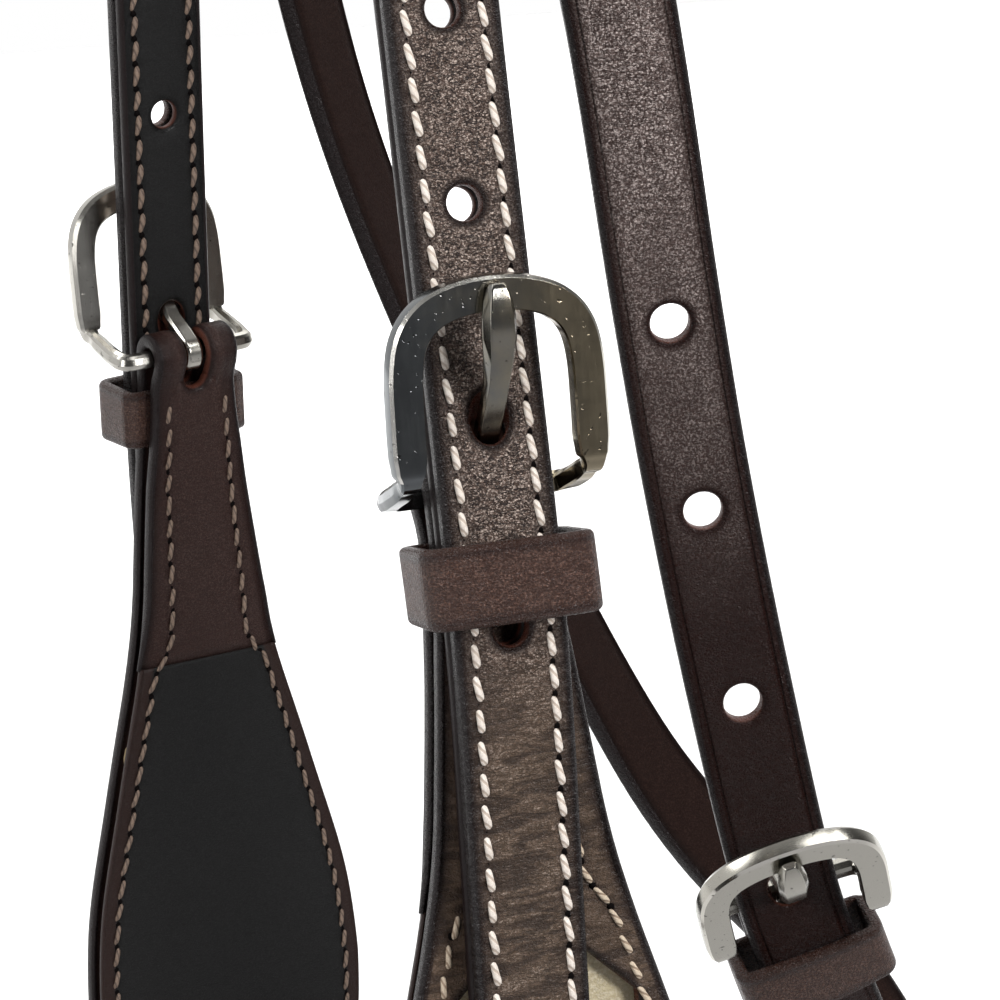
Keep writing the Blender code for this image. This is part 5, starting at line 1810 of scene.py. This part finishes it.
def sow(name, rows, body, slot, piece, **sizes):
    """Sow a piece along rows, and keep the result as one plain mesh."""
    source = stand(bpy.data.objects.new(name + "_rows", row_mesh(name + "_rows", rows)))
    modifier = source.modifiers.new("sowing", "NODES")
    modifier.node_group = SOWING
    modifier[SOWING_INPUTS["Piece"]] = piece
    for label, value in sizes.items():
        modifier[SOWING_INPUTS[label]] = value
    graph = bpy.context.evaluated_depsgraph_get()
    data = bpy.data.meshes.new_from_object(source.evaluated_get(graph), depsgraph=graph)
    data.name = name
    for polygon in data.polygons:
        polygon.use_smooth = True
    obj = stand(bpy.data.objects.new(name, data))
    bpy.data.objects.remove(source)
    keep(obj, None, body, slot)


def sew(name, rows, body, pitch, material, slant=0.16, width=0.00112):
    sow(name, rows, body, "cream_leather", ONE_STITCH, Pitch=pitch, Length=pitch * 0.88,
        Width=width, Height=width * 0.9, Slant=slant, Lift=0.00022, Material=material)
    # Between the stitches, near-black spots sunk in the leather: painted shade in the awl holes.
    shifted = []
    for points in rows:
        first, out = points[0]
        way = (points[1][0] - first).normalized()
        shifted.append([(first - way * pitch / 2, out)] + points[:-1])
    sow(name + "_marks", shifted, body, "black_lining", ONE_GAP_SHADE, Pitch=pitch,
        Length=pitch * 0.36, Width=width * 1.30, Height=0.00034, Slant=slant * 3.0,
        Lift=-0.00006, Material=STITCH_GAP_SHADE.material)


# %% Sew the crown, the cheeks and the browband
BACK_SLANT = -0.20
FINE_WIDTH = 0.00095
BROW_PITCH = 0.0044


def sew_lines(name, lines, material, *shape):
    sew(name, [line.points for line in lines], "straps", lines[0].pitch, material, *shape)


sew_lines("crown_sewing", CROWN_FACE_LINES, PALE_THREAD)
sew_lines("crown_sewing_back", CROWN_BACK_LINES, DARK_THREAD, BACK_SLANT)
for tag, (face_lines, back_lines) in CHEEK_LINES.items():
    sew_lines(tag + "_cheek_sewing", face_lines, TAN_THREAD, 0.20, FINE_WIDTH)
    sew_lines(tag + "_lining_sewing", back_lines, DARK_THREAD, BACK_SLANT, FINE_WIDTH)


def brow_rows_of_thread():
    _, outside, start = brow_path()
    lapped = [(y, outside) for y in spread(start + BROW_LAP, start, 0.002)]
    path = both_sides(lapped + brow_arc(outside, start, 0.0))
    rows = []
    for sign in (-1, 1):
        row = []
        for k, (y, x) in enumerate(path):
            a, b = path[max(k - 1, 0)], path[min(k + 1, len(path) - 1)]
            tangent = Vector((b[1] - a[1], b[0] - a[0], 0)).normalized()
            out = Vector((-tangent.y, tangent.x, 0))
            out = out if out.dot(Vector((x, y * 0.5 - 0.01, 0))) > 0 else -out
            height = -BROW_DROP + sign * (BROW_WIDTH / 2 - SEW_IN)
            row.append((Vector((x, y, height)) + out * (BROW_PLY / 2 - 0.00016), out))
        rows.append(row)
    return rows


sew("browband_sewing", brow_rows_of_thread(), "browband", BROW_PITCH, PALE_THREAD)

# %% [markdown]
# ## Floor, light and air
# The photograph was lit as a plain studio shot, so the floor and the wall behind are white.
# Here the floor is white behind the object and painted grey in front of it, on the camera's
# side: painted shade, so that the buckles and the leather mirror a dark floor there.
# A polished buckle shows what stands round it, and here it shows a dim room behind the
# camera with bright cloth to each side and above. Two small strips put a thin light along the
# buckles' left and right edges, and a lamp far behind keeps the floor there as white as the wall.

# %% The floor and the lights
FLOOR_DROP = 0.0012
FLOOR_SIZE = 6.0
FLOOR_WHITE = (0.92, 0.92, 0.92)
FLOOR_SHADE_GREY = (0.26, 0.26, 0.27)


def build_floor():
    mesh = bmesh.new()
    bmesh.ops.create_grid(mesh, x_segments=1, y_segments=1, size=FLOOR_SIZE)
    for vert in mesh.verts:
        vert.co.z = cad_box[0][2] - FLOOR_DROP
    data = bpy.data.meshes.new("floor")
    mesh.to_mesh(data)
    mesh.free()
    f = Finish("floor_white_and_painted_shade")
    # White behind the object, grey on the camera's side in front: painted shade, so that buckles
    # and leather mirror a dark floor there.
    f.set(base_color=f.colour(f.axis("X").between(-0.5, 0.4), FLOOR_WHITE, FLOOR_SHADE_GREY),
          roughness=0.9)
    data.materials.append(f.material)
    stand(bpy.data.objects.new("floor", data))


def build_world():
    """White behind the object, dim on the camera's side, so that metal faces stay dark."""
    world = bpy.data.worlds.new("studio")
    bpy.context.scene.world = world
    world.use_nodes = True
    nodes = Nodes(world.node_tree)
    way = nodes.output("ShaderNodeTexCoord", output="Generated")
    ahead = nodes.output("ShaderNodeVectorMath", {"operation": "DOT_PRODUCT"},
                         {0: way, 1: Vector((0.92, 0.38, 0.0)).normalized()}, "Value")
    shade = nodes.output("ShaderNodeMapRange", {"interpolation_type": "SMOOTHSTEP"},
                         {"Value": ahead, "From Min": -0.25, "From Max": 0.35, "To Min": 1.0,
                          "To Max": 0.05})
    seen = nodes.output("ShaderNodeLightPath", output="Is Camera Ray")
    background = world.node_tree.nodes["Background"].inputs
    nodes.feed(background["Strength"],
               nodes.output("ShaderNodeMath", {"operation": "MAXIMUM"}, {0: shade, 1: seen}))
    nodes.feed(background["Color"], (1.0, 1.0, 1.0, 1.0))


def add_area(name, place, aim, size, power):
    data = bpy.data.lights.new(name, "AREA")
    data.shape = "RECTANGLE"
    data.size, data.size_y = size
    data.energy = power
    light = stand(bpy.data.objects.new(name, data))
    light.location = place
    light.rotation_euler = (Vector(aim) - Vector(place)).to_track_quat("-Z", "Y").to_euler()
    return data


build_floor()
build_world()
bpy.context.scene.view_settings.view_transform = "Standard"
for name, place, size, power in (
        ("left_edge_strip", (0.0, -0.66, 0.42), (0.30, 0.30), 2.2),
        ("right_edge_strip", (0.41, 0.51, 0.42), (0.30, 0.30), 2.2),
        ("left_cloth", (0.62, -0.78, -0.05), (0.30, 0.80), 3.6),
        ("top_cloth", (0.55, 0.22, 0.70), (0.50, 0.40), 3.2),
        ("right_cloth", (0.88, 0.46, 0.02), (0.26, 0.30), 8.0)):
    add_area(name, place, (0.0, 0.0, -0.28), size, power)
lamp = add_area("floor_lamp", (-3.2, 0.8, 1.8), (-3.2, 0.8, -0.53), (4.0, 6.0), 200.0)
lamp.spread = math.radians(110.0)
print("lights:", ", ".join(sorted(light.name for light in bpy.data.lights)))
